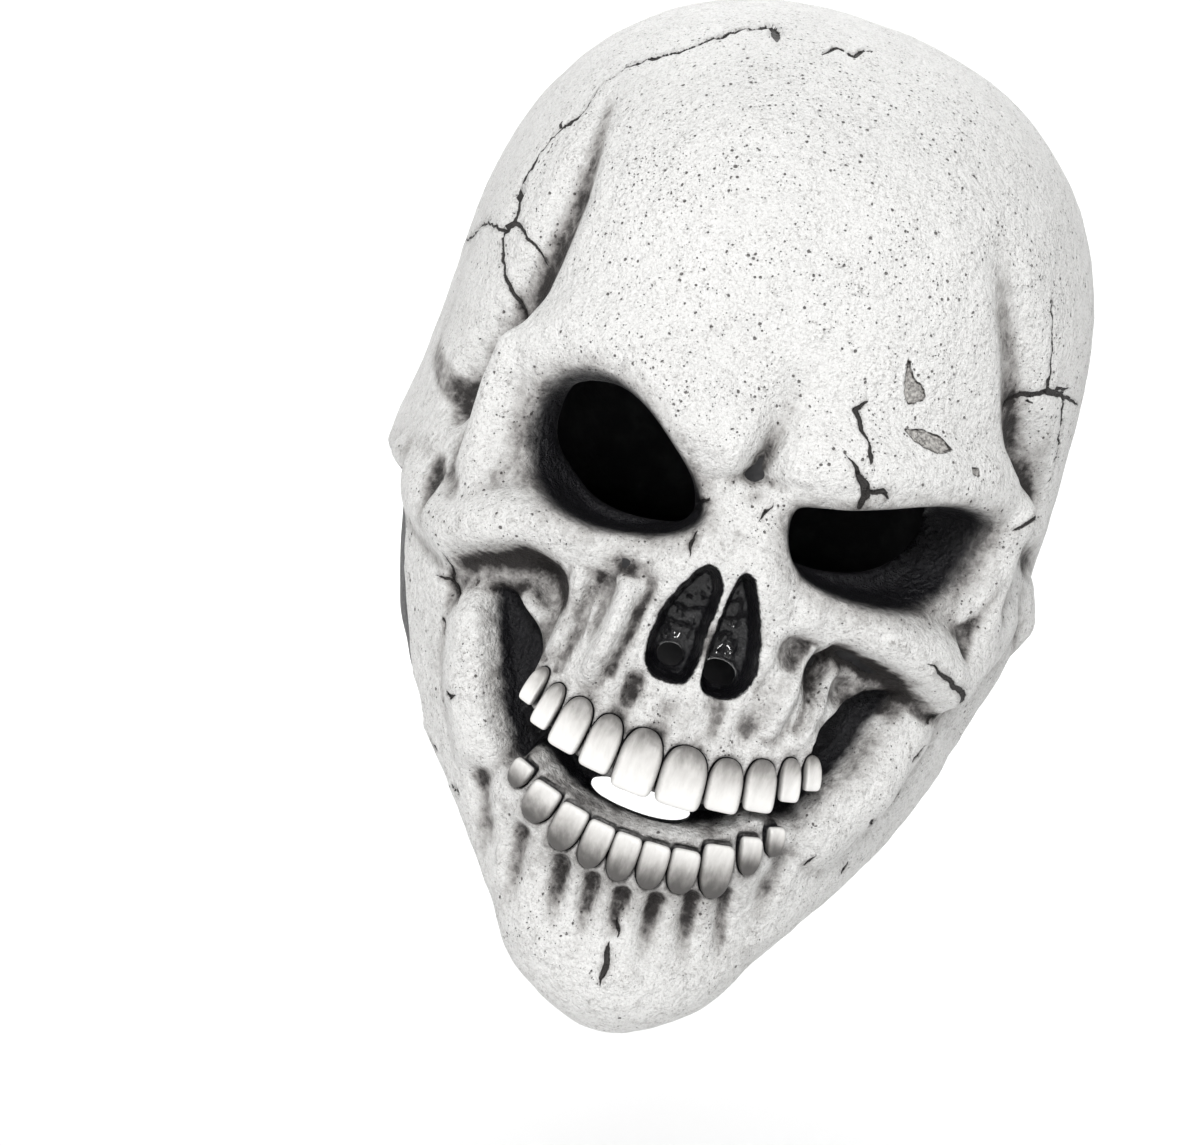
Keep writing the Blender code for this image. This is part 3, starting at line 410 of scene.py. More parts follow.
# Dark paint that is brushed over the bone, and painted shade: the temples' dark bands, one side of the
# forehead, the crease between the brows and the shadow under the cheekbones.
WASH_AND_SHADE_STROKES = {
    # across, down, width, darkness
    # Painted shade: dark bands along the temples' crests, in this row and the two after it.
    "temple_right": [
        (-0.72, 0.36, 0.05, 0.35), (-0.715, 0.52, 0.05, 0.96), (-0.735, 0.68, 0.06, 1.39),
        (-0.765, 0.82, 0.06, 1.56), (-0.795, 0.96, 0.06, 1.91), (-0.815, 1.08, 0.06, 2.09),
        (-0.87, 1.135, 0.06, 2.27), (-0.96, 1.135, 0.05, 2.09), (-1.06, 1.105, 0.05, 1.56),
        (-1.2, 1.07, 0.06, 0.86),
    ],
    "temple_left": [
        (0.42, 0.36, 0.05, 0.36), (0.48, 0.5, 0.06, 0.96), (0.56, 0.62, 0.07, 1.5),
        (0.64, 0.76, 0.08, 1.8), (0.74, 0.88, 0.08, 2.04), (0.86, 0.965, 0.08, 2.28),
        (0.93, 1.01, 0.06, 1.8),
    ],
    "temple_inside_left": [(0.8, 0.74, 0.05, 0.43), (0.86, 0.86, 0.06, 0.87), (0.92, 0.95, 0.05, 0.87)],
    # Painted shade over the left side of the forehead.
    "forehead_right": [(0.32, 0.36, 0.16, 0.1), (0.5, 0.6, 0.16, 0.22), (0.62, 0.78, 0.12, 0.25)],
    # Painted shade in the crease between the brows.
    "crease": [
        (0.02, 0.78, 0.03, 0.2), (0.01, 0.86, 0.035, 0.5), (0.0, 0.95, 0.035, 0.8),
        (-0.01, 1.03, 0.03, 1.0), (-0.02, 1.06, 0.03, 0.7),
    ],
    # Painted shadow under the right cheekbone.
    "under_cheek_right": [
        (-0.64, 1.475, 0.05, 0.31), (-0.55, 1.44, 0.05, 0.53), (-0.45, 1.41, 0.06, 0.79),
        (-0.39, 1.43, 0.06, 0.88), (-0.345, 1.5, 0.05, 0.62), (-0.325, 1.6, 0.04, 0.4),
    ],
    "cheek_pit_right": [(-0.29, 1.39, 0.04, 0.49), (-0.25, 1.36, 0.05, 0.82), (-0.19, 1.35, 0.04, 0.41)],
    "furrow_2": [(-0.165, 1.37, 0.03, 0.32), (-0.175, 1.46, 0.035, 0.49), (-0.188, 1.6, 0.03, 0.49)],
    # Painted shadow under the left cheekbone.
    "under_cheek_left": [
        (0.315, 1.395, 0.04, 0.79), (0.345, 1.43, 0.05, 0.88), (0.42, 1.425, 0.05, 0.75),
        (0.5, 1.43, 0.04, 0.62),
    ],
    # Painted shadow along the lower edges of both cheekbones, in this row and the next.
    "fold_right": [
        (-0.7, 1.5, 0.02, 0.3), (-0.64, 1.485, 0.026, 0.6), (-0.57, 1.455, 0.03, 0.75),
        (-0.47, 1.41, 0.032, 0.9), (-0.4, 1.43, 0.03, 0.75), (-0.37, 1.47, 0.026, 0.52),
    ],
    "fold_left": [
        (0.29, 1.385, 0.024, 0.6), (0.34, 1.4, 0.03, 0.83), (0.42, 1.415, 0.03, 0.83),
        (0.52, 1.448, 0.028, 0.68), (0.62, 1.5, 0.026, 0.6), (0.68, 1.495, 0.02, 0.3),
    ],
    "furrow_3": [(0.3, 1.4, 0.035, 0.65), (0.282, 1.5, 0.03, 0.57), (0.262, 1.6, 0.03, 0.41)],
    "furrow_4": [(0.225, 1.4, 0.03, 0.49), (0.19, 1.5, 0.03, 0.49), (0.18, 1.6, 0.03, 0.41)],
    "smudge_1": [(-0.132, 1.55, 0.06, 0.13), (-0.132, 1.635, 0.055, 0.53), (-0.13, 1.7, 0.05, 0.28)],
    "smudge_2": [(-0.21, 1.53, 0.055, 0.16), (-0.205, 1.62, 0.05, 0.49), (-0.205, 1.69, 0.045, 0.28)],
    "smudge_3": [(-0.045, 1.61, 0.055, 0.16), (-0.04, 1.7, 0.055, 0.41)],
    "smudge_4": [(0.068, 1.59, 0.05, 0.24), (0.075, 1.66, 0.055, 0.45)],
    "smudge_5": [(0.145, 1.51, 0.05, 0.2), (0.15, 1.62, 0.05, 0.45)],
    "smudge_6": [(0.0, 1.61, 0.03, 0.24), (0.005, 1.68, 0.03, 0.32)],
    "malar": [(0.705, 1.152, 0.03, 0.4), (0.662, 1.254, 0.035, 0.6), (0.635, 1.331, 0.03, 0.4)],
    "slit": [(-0.865, 1.305, 0.04, 0.6), (-0.823, 1.373, 0.05, 0.9), (-0.815, 1.443, 0.04, 0.6)],
    "ear_hollow": [(0.93, 1.085, 0.05, 0.6), (1.02, 1.1, 0.06, 0.9), (1.1, 1.11, 0.05, 0.6)],
    "ramus_front": [(-0.5, 1.5, 0.03, 0.6), (-0.46, 1.51, 0.03, 0.6)],
    "jaw_roots": [
        (-0.34, 2.02, 0.1, 0.3), (-0.17, 2.09, 0.1, 0.45), (-0.02, 2.105, 0.1, 0.5),
        (0.14, 2.075, 0.1, 0.45), (0.26, 1.99, 0.08, 0.3),
    ],
    "jaw_line_1": [
        (-0.29, 2.04, 0.036, 0.29), (-0.285, 2.13, 0.042, 0.29), (-0.27, 2.23, 0.036, 0.04),
    ],
    "jaw_line_2": [
        (-0.172, 2.08, 0.036, 0.36), (-0.165, 2.16, 0.042, 0.33), (-0.15, 2.26, 0.036, 0.04),
    ],
    "jaw_line_3": [
        (-0.092, 2.09, 0.034, 0.36), (-0.09, 2.18, 0.036, 0.29), (-0.085, 2.27, 0.036, 0.04),
    ],
    "jaw_line_4": [
        (-0.016, 2.095, 0.034, 0.36), (-0.02, 2.16, 0.036, 0.26), (-0.02, 2.22, 0.036, 0.04),
    ],
    "jaw_line_5": [(0.062, 2.085, 0.034, 0.36), (0.062, 2.18, 0.036, 0.26), (0.07, 2.26, 0.036, 0.04)],
    "jaw_line_6": [(0.14, 2.06, 0.034, 0.33), (0.15, 2.15, 0.036, 0.26), (0.16, 2.24, 0.036, 0.04)],
    "jaw_line_7": [(0.214, 2.03, 0.034, 0.29), (0.235, 2.12, 0.036, 0.22), (0.24, 2.2, 0.036, 0.04)],
    "jaw_side_right": [
        (-0.44, 1.96, 0.04, 0.39), (-0.4, 2.06, 0.05, 0.51), (-0.37, 2.15, 0.05, 0.11),
    ],
    "jaw_side_left": [
        (0.33, 1.9, 0.04, 0.34), (0.32, 1.99, 0.045, 0.51), (0.31, 2.08, 0.04, 0.11),
    ],
}

# Teeth from the mask's right to its left: how far down, how wide and tall, and how far turned, in degrees.
TOOTH_ROWS = {
    "upper": {
        "start": -0.367,
        "upward": 1,
        "rows": [
            # down, width, height, turn
            (1.69, 0.042, 0.095, 16),
            (1.722, 0.05, 0.11, 14),
            (1.744, 0.076, 0.128, 11),
            (1.762, 0.078, 0.132, 7),
            (1.775, 0.1, 0.148, 3),
            (1.78, 0.11, 0.138, -1),
            (1.77, 0.084, 0.12, -4),
            (1.748, 0.076, 0.118, -7),
            (1.718, 0.052, 0.102, -10),
            (1.69, 0.044, 0.085, -12),
        ],
    },
    "lower": {
        "start": -0.352,
        "upward": -1,
        "rows": [
            # down, width, height, turn
            (1.898, 0.055, 0.07, 18),
            (1.945, 0.078, 0.098, 14),
            (1.978, 0.074, 0.115, 10),
            (1.994, 0.068, 0.116, 6),
            (2.0, 0.068, 0.116, 2),
            (1.998, 0.07, 0.112, -1),
            (1.99, 0.07, 0.11, -4),
            (1.968, 0.076, 0.132, -7),
            (1.912, 0.055, 0.095, -10),
            (1.865, 0.045, 0.075, -12),
        ],
    },
}
FLAT_END_SQUARENESS = 6.5
ROUND_END_SQUARENESS = 2.4
TOOTH_CUTS = 12
TOOTH_EDGE_SQUARENESS = 4.0
TOOTH_NARROWING = 0.10
TOOTH_RIDGE = 0.00022
TOOTH_UNEVENNESS = 0.0001
# The lower row of teeth is painted darker all over.
LOWER_TOOTH_DARKENING = 0.55

# How far a tooth's middle and its front stand out, as shares of its thickness
TOOTH_LIFT = 0.62
TOOTH_LIFT_LOST_AT_GUM = 0.30
TOOTH_FRONT_LIFT = 0.50

# Where the skin is finer: the face, as shares; round the cracks, in mm; round other details, as a share
FINE_FACE_HALF = 0.74
FINE_FACE_TOP = 0.93
FINE_FACE_BOTTOM = 2.16
FINE_CRACK_REACH = 2.2
FINEST_CRACK_REACH = 0.9
FINEST_REACH = 0.008

# How far from a crack its width is carried, in mm
CRACK_BAND = 1.6

# How deep an opening's plug reaches, and the strip at the nape in which the seam's points are joined
PLUG_LENGTH = 0.04
SEAM_HALF = 0.3 * MM
SEAM_MERGE = 0.02 * MM

# Heights of the fine relief, in metres
COARSE_LUMPS = 0.00035
FINE_LUMPS = 0.00018
GUM_COLLAR = 0.0012
TOOTH_SEAT = 0.0013
WET_DRIPS = 0.0008
WET_GRAIN = 0.0002

# Depths of the cracks and chips, in mm
CRACK_DEPTH = 0.35
CRACK_DEPTH_PER_WIDTH = 0.8
CRACK_SWELL = 0.1
CHIP_DEPTH = 0.8
CHIP_UNEVENNESS = 0.3

# Shares of the dark paint and of the painted shade
SMALL_HOLLOW_SHADE = 0.55
LARGE_HOLLOW_SHADE = 0.5
BRUSHED_SHADE = 0.75
SOCKET_EDGE_SHADE = 0.55
GUM_SHADE = 0.55
RECESS_EDGE_SHADE = 0.35
CRACK_SHADE = 0.45


class MaskSizes(bpy.types.PropertyGroup):
    """The sizes that the skin and the teeth are worked out from"""

    width: bpy.props.FloatProperty(
        name="Skull width", description="Across the cranium", default=0.166, unit="LENGTH"
    )
    height: bpy.props.FloatProperty(
        name="Skull height", description="From the crown to the chin", default=0.246, unit="LENGTH"
    )
    depth: bpy.props.FloatProperty(
        name="Skull depth", description="From the face to the nape", default=0.200, unit="LENGTH"
    )
    wall: bpy.props.FloatProperty(
        name="Wall", description="Thickness of the latex", default=0.0028, unit="LENGTH"
    )
    relief: bpy.props.FloatProperty(
        name="Relief", description="Height that the strokes are shares of", default=0.010, unit="LENGTH"
    )
    socket_depth: bpy.props.FloatProperty(
        name="Socket depth", description="How far the eye sockets are sunk", default=0.015, unit="LENGTH"
    )
    nose_depth: bpy.props.FloatProperty(
        name="Nose depth", description="How far the nose opening is sunk", default=0.010, unit="LENGTH"
    )
    recess_depth: bpy.props.FloatProperty(
        name="Recess depth", description="How far the cheek recess is sunk", default=0.0095, unit="LENGTH"
    )
    neck_step: bpy.props.FloatProperty(
        name="Neck step", description="How far the black neck is sunk", default=0.0045, unit="LENGTH"
    )
    tooth_thickness: bpy.props.FloatProperty(
        name="Tooth thickness", description="How far a tooth stands out", default=0.0036, unit="LENGTH"
    )
    tooth_gap: bpy.props.FloatProperty(
        name="Tooth gap", description="Between one tooth and the next", default=0.0003, unit="LENGTH"
    )


class MaskColours(bpy.types.PropertyGroup):
    """The paints of the mask"""

    bone: bpy.props.FloatVectorProperty(
        name="Bone", description="Paint of the bone", default=(0.85, 0.848, 0.838), size=3, subtype="COLOR"
    )
    wash_and_shade: bpy.props.FloatVectorProperty(
        name="Wash", description="Thin dark paint", default=(0.030, 0.027, 0.026), size=3, subtype="COLOR"
    )
    black: bpy.props.FloatVectorProperty(
        name="Black", description="Sunk places", default=(0.007, 0.0068, 0.0085), size=3, subtype="COLOR"
    )
    tooth: bpy.props.FloatVectorProperty(
        name="Tooth", description="Paint of the teeth", default=(0.84, 0.83, 0.81), size=3, subtype="COLOR"
    )
    floor: bpy.props.FloatVectorProperty(
        name="Floor", description="The plain floor", default=(0.92, 0.92, 0.92), size=3, subtype="COLOR"
    )


def smooth_step(low, high, value):
    share = np.clip((value - low) / (high - low), 0.0, 1.0)
    return share * share * (3.0 - 2.0 * share)


def read_between(places, values, at):
    """A smooth curve through the rows of a table, that never overshoots them."""
    gaps = np.diff(places)
    slopes = np.diff(values) / gaps
    tangents = np.zeros(len(places))
    tangents[[0, -1]] = slopes[[0, -1]]
    for i in range(1, len(places) - 1):
        if slopes[i - 1] * slopes[i] > 0:
            before = 2 * gaps[i] + gaps[i - 1]
            after = gaps[i] + 2 * gaps[i - 1]
            tangents[i] = (before + after) / (before / slopes[i - 1] + after / slopes[i])
    i = np.clip(np.searchsorted(places, at) - 1, 0, len(places) - 2)
    t = (at - places[i]) / gaps[i]
    return (
        values[i] * (2 * t**3 - 3 * t**2 + 1)
        + gaps[i] * tangents[i] * (t**3 - 2 * t**2 + t)
        + values[i + 1] * (3 * t**2 - 2 * t**3)
        + gaps[i] * tangents[i + 1] * (t**3 - t**2)
    )


class HeadForm:
    """The plain head form. turn: -1 to 1 round the head, 0 at the front. level: 0 crown, 1 widest, 2 rim."""

    def __init__(self, sizes):
        self.sizes = sizes
        self.girth = GIRTH_SHARE * sizes.width
        self.length = LENGTH_SHARE * sizes.height
        turn, level = np.meshgrid(np.linspace(-1, 1, FORM_COLUMNS + 1), np.linspace(0, 2, FORM_ROWS + 1))
        points = self.points_at(turn, level)
        steps = np.linalg.norm(np.diff(points[..., :2], axis=1), axis=-1)
        run = np.concatenate([np.zeros((len(steps), 1)), np.cumsum(steps, axis=1)], axis=1)
        self.turn = turn
        self.level = level
        self.across = (run - run[:, [FORM_COLUMNS // 2]]) / self.girth
        self.down = -points[..., 2] / self.length

    def points_at(self, turn, level):
        sizes = self.sizes
        angle = math.pi * (turn - FRONT_CROWDING * np.sin(math.pi * turn))
        table = np.array(SECTIONS)
        rows = np.arange(float(len(table)))
        row = np.clip(level - 1.0, 0.0, 1.0) * (len(table) - 1)
        side, front, half, face, nape, widest, lean = [read_between(rows, column, row) for column in table.T]
        around = np.clip(level, 0.0, 1.0) * math.pi / 2
        out = np.sin(around) ** (2 / CROWN_FULLNESS)
        rise = np.cos(around).clip(0.0) ** (2 / CROWN_FULLNESS)
        dip = ((1 + np.cos(angle)) / 2) ** DIP_SHARPNESS
        z = -self.length * (side + (front - side) * dip)
        widest_z = -self.length * table[0][0]
        z = np.where(level < 1, widest_z + (sizes.wall - widest_z) * rise, z)
        wide = np.sign(np.sin(angle)) * np.abs(np.sin(angle)) ** (2 / SECTION_FULLNESS)
        deep = np.abs(np.cos(angle)) ** (2 / SECTION_FULLNESS)
        reach = np.where(np.cos(angle) > 0, face - widest, nape - widest)
        x = sizes.width * half * out * wide + self.girth * lean * np.cos(angle).clip(0.0)
        y = sizes.depth * (widest + reach * out * deep)
        return np.stack([x, y, z], axis=-1)

    def normals_at(self, turn, level, step=0.002):
        along = self.points_at(turn + step, level) - self.points_at(turn - step, level)
        low = np.clip(level + step, 0.0, 2.0)
        high = np.clip(level - step, 0.0, 2.0)
        down = self.points_at(turn, low) - self.points_at(turn, high)
        normal = np.cross(down, along)
        return normal / np.linalg.norm(normal, axis=-1, keepdims=True)

    def read(self, grid, turn, level):
        """A grid of the form's own fineness, read between its points."""
        column = np.clip((turn + 1) / 2 * FORM_COLUMNS, 0, FORM_COLUMNS - 1e-6)
        row = np.clip(level / 2 * FORM_ROWS, 0, FORM_ROWS - 1e-6)
        left = column.astype(int)
        top = row.astype(int)
        x = column - left
        y = row - top
        upper = grid[top, left] * (1 - x) + grid[top, left + 1] * x
        lower = grid[top + 1, left] * (1 - x) + grid[top + 1, left + 1] * x
        return upper * (1 - y) + lower * y

    def find(self, across, down):
        """The turn and level of a place across and down the face."""
        miss = (self.across - across) ** 2 + (self.down - down) ** 2
        row, column = np.unravel_index(np.argmin(miss), miss.shape)
        row = min(max(row, 1), FORM_ROWS - 1)
        column = min(max(column, 1), FORM_COLUMNS - 1)
        slope_across = (self.across[row, column + 1] - self.across[row, column - 1]) * FORM_COLUMNS / 4
        slope_down = (self.down[row + 1, column] - self.down[row - 1, column]) * FORM_ROWS / 4
        limit = 1.0 / FORM_ROWS
        miss_across = (across - self.across[row, column]) / slope_across
        miss_down = (down - self.down[row, column]) / slope_down
        turn = self.turn[row, column] + np.clip(miss_across, -limit, limit)
        level = self.level[row, column] + np.clip(miss_down, -limit, limit)
        return turn, level

    def place(self, across, down):
        """The form's points at some places near each other, and their outward normals."""
        first_turn, first_level = self.find(across.mean(), down.mean())
        turn = np.full_like(across, first_turn)
        level = np.full_like(across, first_level)
        step = 2.0 / FORM_ROWS
        for _ in range(10):
            slope = self.read(self.across, turn + step, level) - self.read(self.across, turn - step, level)
            turn_step = (across - self.read(self.across, turn, level)) * 2 * step / slope
            slope = self.read(self.down, turn, level + step) - self.read(self.down, turn, level - step)
            level_step = (down - self.read(self.down, turn, level)) * 2 * step / slope
            turn = turn + np.clip(turn_step, -0.05, 0.05)
            level = level + np.clip(level_step, -0.05, 0.05)
        return self.points_at(turn, level), self.normals_at(turn, level)


class Places:
    """Places on the head form, with what the shape and the paint are worked out from."""

    def __init__(self, form, turn, level):
        self.turn = turn
        self.level = level
        self.across = form.read(form.across, turn, level)
        self.down = form.read(form.down, turn, level)
        self.base = form.points_at(turn, level)
        self.normal = form.normals_at(turn, level)


def nearest_on_path(across, down, start, end):
    """Distance to a straight run, and how far along it the nearest place is."""
    run = np.array(end[:2]) - np.array(start[:2])
    along = ((across - start[0]) * run[0] + (down - start[1]) * run[1]) / max(run @ run, 1e-12)
    along = np.clip(along, 0.0, 1.0)
    return np.hypot(across - start[0] - along * run[0], down - start[1] - along * run[1]), along


def places_near(across, down, spots, reach):
    """Which places lie in the box round some spots."""
    low = spots.min(axis=0) - reach
    high = spots.max(axis=0) + reach
    return (across > low[0]) & (across < high[0]) & (down > low[1]) & (down < high[1])


def stroke(across, down, rows):
    """A raised or sunken line whose width and rise change from place to place."""
    best = np.zeros_like(across)
    table = np.array(rows)
    near = places_near(across, down, table[:, :2], table[:, 2].max())
    near_across = across[near]
    near_down = down[near]
    found = np.zeros_like(near_across)
    for start, end in zip(rows[:-1], rows[1:]):
        distance, along = nearest_on_path(near_across, near_down, start, end)
        width = start[2] + (end[2] - start[2]) * along
        rise = start[3] + (end[3] - start[3]) * along
        share = np.clip(1.0 - (distance / width) ** 2, 0.0, 1.0) ** 2 * rise
        found = np.where(np.abs(share) > np.abs(found), share, found)
    best[near] = found
    return best


def smooth_outline(corners, pieces=5):
    """A closed curve that passes through the corners."""
    corners = np.array(corners)
    out = []
    for i in range(len(corners)):
        a, b, c, d = (corners[(i + k - 1) % len(corners)] for k in range(4))
        for t in np.arange(pieces) / pieces:
            square = (2 * a - 5 * b + 4 * c - d) * t**2
            cube = (3 * b - a - 3 * c + d) * t**3
            out.append(0.5 * (2 * b + (c - a) * t + square + cube))
    return np.array(out)


def inside_distance(across, down, outline, reach=0.08):
    """Distance to a closed outline: positive inside, negative outside, and no further than the reach."""
    answer = np.full_like(across, -reach)
    near = places_near(across, down, outline, reach)
    near_across = across[near]
    near_down = down[near]
    nearest = np.full_like(near_across, reach)
    inside = np.zeros(near_across.shape, bool)
    for start, end in zip(outline, np.roll(outline, -1, axis=0)):
        distance, _ = nearest_on_path(near_across, near_down, start, end)
        nearest = np.minimum(nearest, distance)
        crosses = (start[1] > near_down) != (end[1] > near_down)
        if start[1] != end[1]:
            at = start[0] + (near_down - start[1]) * (end[0] - start[0]) / (end[1] - start[1])
            inside ^= crosses & (near_across < at)
    answer[near] = np.where(inside, nearest, -nearest)
    return answer


def inside_any(across, down, outlines, reach=0.08):
    return np.max([inside_distance(across, down, outline, reach) for outline in outlines], axis=0)


def squared_oval(row, sides=40):
    """The outline of a squared oval, as places across and down."""
    across, down, half_width, half_height, squareness = row
    angles = np.arange(sides) * 2 * math.pi / sides
    wide = np.sign(np.cos(angles)) * np.abs(np.cos(angles)) ** (2 / squareness) * half_width
    tall = np.sign(np.sin(angles)) * np.abs(np.sin(angles)) ** (2 / squareness) * half_height
    return np.stack([across + wide, down + tall], axis=-1)


def opening_outlines():
    outlines = {name: smooth_outline(corners) for name, corners in OPENINGS.items()}
    outlines.update({name: squared_oval(row) for name, row in ROUND_OPENINGS.items()})
    return outlines


def neck_reach(across, down):
    """How far a place lies behind the black neck's front edge, and how far below its top."""
    edge = np.interp(down, *np.array(NECK_FRONT).T)
    back = smooth_step(NECK_SIDE_END, NECK_BACK_START, np.abs(across))
    top = NECK_TOP_SIDE + (NECK_TOP_BACK - NECK_TOP_SIDE) * back
    return np.abs(across) - edge, down - top


def neck_share(across, down):
    """1 on the black neck behind the jaw, 0 on the bone, with a short slope between."""
    behind, below = neck_reach(across, down)
    return smooth_step(-NECK_WALL, NECK_WALL, behind) * smooth_step(-NECK_WALL, NECK_WALL, below)


def sunk(height, share, depth):
    """The height led over to a plain sunk place."""
    return height + (-depth - height) * share


def bone_height(form, across, down, fine=True):
    """How far the bone stands out from the plain head form, in metres."""
    tables = list(STROKES.values()) + (list(FINE_STROKES.values()) if fine else [])
    return sum(stroke(across, down, rows) for rows in tables) * form.sizes.relief


def teeth_of(form):
    """Every tooth: its name, place across and down, width, height, turn and which way its root points."""
    teeth = []
    for name, row in TOOTH_ROWS.items():
        across = row["start"]
        for number, (down, width, height, turn) in enumerate(row["rows"], 1):
            gap = form.sizes.tooth_gap / form.girth
            teeth.append(
                {
                    "name": f"{name}_tooth_{number:02d}",
                    "across": across + width / 2,
                    "down": down,
                    "width": width - gap,
                    "height": height,
                    "turn": math.radians(turn),
                    "upward": row["upward"],
                }
            )
            across += width
    return teeth


def tooth_squareness(tall, upward):
    """Flat at the biting edge, round at the gum."""
    gumward = smooth_step(-0.5, 0.5, tall * upward)
    return FLAT_END_SQUARENESS + (ROUND_END_SQUARENESS - FLAT_END_SQUARENESS) * gumward


def tooth_field(form, across, down):
    """Distance to the nearest tooth's outline, positive inside, and how near its gum end the place lies."""
    nearest = np.full_like(across, -0.05)
    gumward = np.zeros_like(across)
    for tooth in teeth_of(form):
        sideways = across - tooth["across"]
        under = down - tooth["down"]
        cosine = math.cos(tooth["turn"])
        sine = math.sin(tooth["turn"])
        wide = (sideways * cosine + under * sine) / (tooth["width"] / 2)
        tall = (sideways * sine - under * cosine) / (tooth["height"] / 2)
        near = (np.abs(wide) < 3) & (np.abs(tall) < 3)
        squareness = tooth_squareness(tall[near], tooth["upward"])
        share = (np.abs(wide[near]) ** squareness + np.abs(tall[near]) ** squareness) ** (1 / squareness)
        inside = (1 - share) * min(tooth["width"], tooth["height"]) / 2
        closer = inside > nearest[near]
        nearest[near] = np.where(closer, inside, nearest[near])
        gumward[near] = np.where(closer, tall[near] * tooth["upward"], gumward[near])
    return nearest, gumward


def jagged(rows, seed, piece=0.011, swing=0.0042):
    """A crack's path broken into short runs that swing to either side."""
    out = []
    for index, (start, end) in enumerate(zip(rows[:-1], rows[1:])):
        start = np.array(start)
        end = np.array(end)
        run = end - start
        length = math.hypot(run[0], run[1])
        pieces = max(1, round(length / piece))
        for k in range(pieces):
            at = start + run * k / pieces
            if k or index:
                shift = noise.noise(Vector((at[0] * 40 + seed, at[1] * 40, seed))) * swing * 2
                at[0] += shift * run[1] / length
                at[1] -= shift * run[0] / length
            out.append(at)
    out.append(np.array(rows[-1]))
    return out


def crack_paths(form, cracks, seed):
    """Each crack as points on the form, their normals and half widths, in mm."""
    paths = []
    for number, rows in enumerate(cracks.values()):
        path = jagged(rows, seed + number)
        turn, level = np.array([form.find(across, down) for across, down, _ in path]).T
        halves = np.array([half for _, _, half in path]) * form.girth / MM
        paths.append((form.points_at(turn, level) / MM, form.normals_at(turn, level), halves))
    return paths


def crack_field(places, paths, reach=3.0):
    """Signed distance to the nearest crack and its half width, in mm. The width is negative away from it."""
    signed = np.full(len(places.across), reach)
    width = np.full(len(places.across), -1.0)
    best = np.full(len(places.across), reach)
    for points, normals, halves in paths:
        low = points.min(axis=0) - reach
        high = points.max(axis=0) + reach
        near = np.flatnonzero(((places.base / MM > low) & (places.base / MM < high)).all(axis=1))
        here = places.base[near] / MM
        for i in range(len(points) - 1):
            run = points[i + 1] - points[i]
            length = max(run @ run, 1e-9)
            along = np.clip((here - points[i]) @ run / length, 0.0, 1.0)
            away = here - points[i] - along[:, None] * run
            distance = np.linalg.norm(away, axis=1)
            closer = distance < best[near]
            if not closer.any():
                continue
            side = np.sign(away @ np.cross(run, normals[i]))
            half = halves[i] + (halves[i + 1] - halves[i]) * along
            past = ((i == 0) & (along <= 0)) | ((i == len(points) - 2) & (along >= 1))
            half = np.where(past, -distance, half)
            half = np.where(distance > CRACK_BAND, -1.0, half)
            chosen = near[closer]
            best[chosen] = distance[closer]
            signed[chosen] = (distance * side)[closer]
            width[chosen] = half[closer]
    return signed, width


def lumps(points, scale, seed):
    """Smooth uneven rises and dips between about -1 and 1."""
    shift = Vector((seed, -seed, seed * 0.5))
    return np.array([noise.noise(Vector(point) / scale + shift) for point in points])


def blurred(grid, columns, rows):
    """A grid averaged over its neighbours, round the head and up and down."""
    for _ in range(2):
        shifts = range(-columns, columns + 1)
        total = sum(np.roll(grid[:, :-1], k, axis=1) for k in shifts) / (2 * columns + 1)
        grid = np.concatenate([total, total[:, :1]], axis=1)
        padded = np.pad(grid, ((rows, rows), (0, 0)), mode="edge")
        grid = sum(padded[k : k + len(grid)] for k in range(2 * rows + 1)) / (2 * rows + 1)
    return grid


class Plug:
    """A straight way through the skin, along the skin's own direction at the middle of an outline."""

    def __init__(self, form, outline):
        turn, level = np.array([form.find(across, down) for across, down in outline]).T
        ring = form.points_at(turn, level)
        middle = np.array([form.find(*outline.mean(axis=0))])
        normal = form.normals_at(middle[:, 0], middle[:, 1])[0] * (1.0, 1.0, 0.0)
        self.normal = normal / np.linalg.norm(normal)
        self.sideways = np.array([-self.normal[1], self.normal[0], 0.0])
        self.centre = ring.mean(axis=0)
        self.girth = form.girth
        self.outline = self.spots(ring)

    def spots(self, points):
        away = points - self.centre
        return np.stack([away @ self.sideways, -away[:, 2]], axis=-1) / self.girth

    def inside(self, points, reach=0.08):
        """Distance inside the plug, in the form's shares, and the places over it."""
        spots = self.spots(points)
        distance = inside_distance(spots[:, 0], spots[:, 1], self.outline, reach)
        behind = (points - self.centre) @ self.normal < -PLUG_LENGTH
        return np.where(behind, -reach, distance), spots


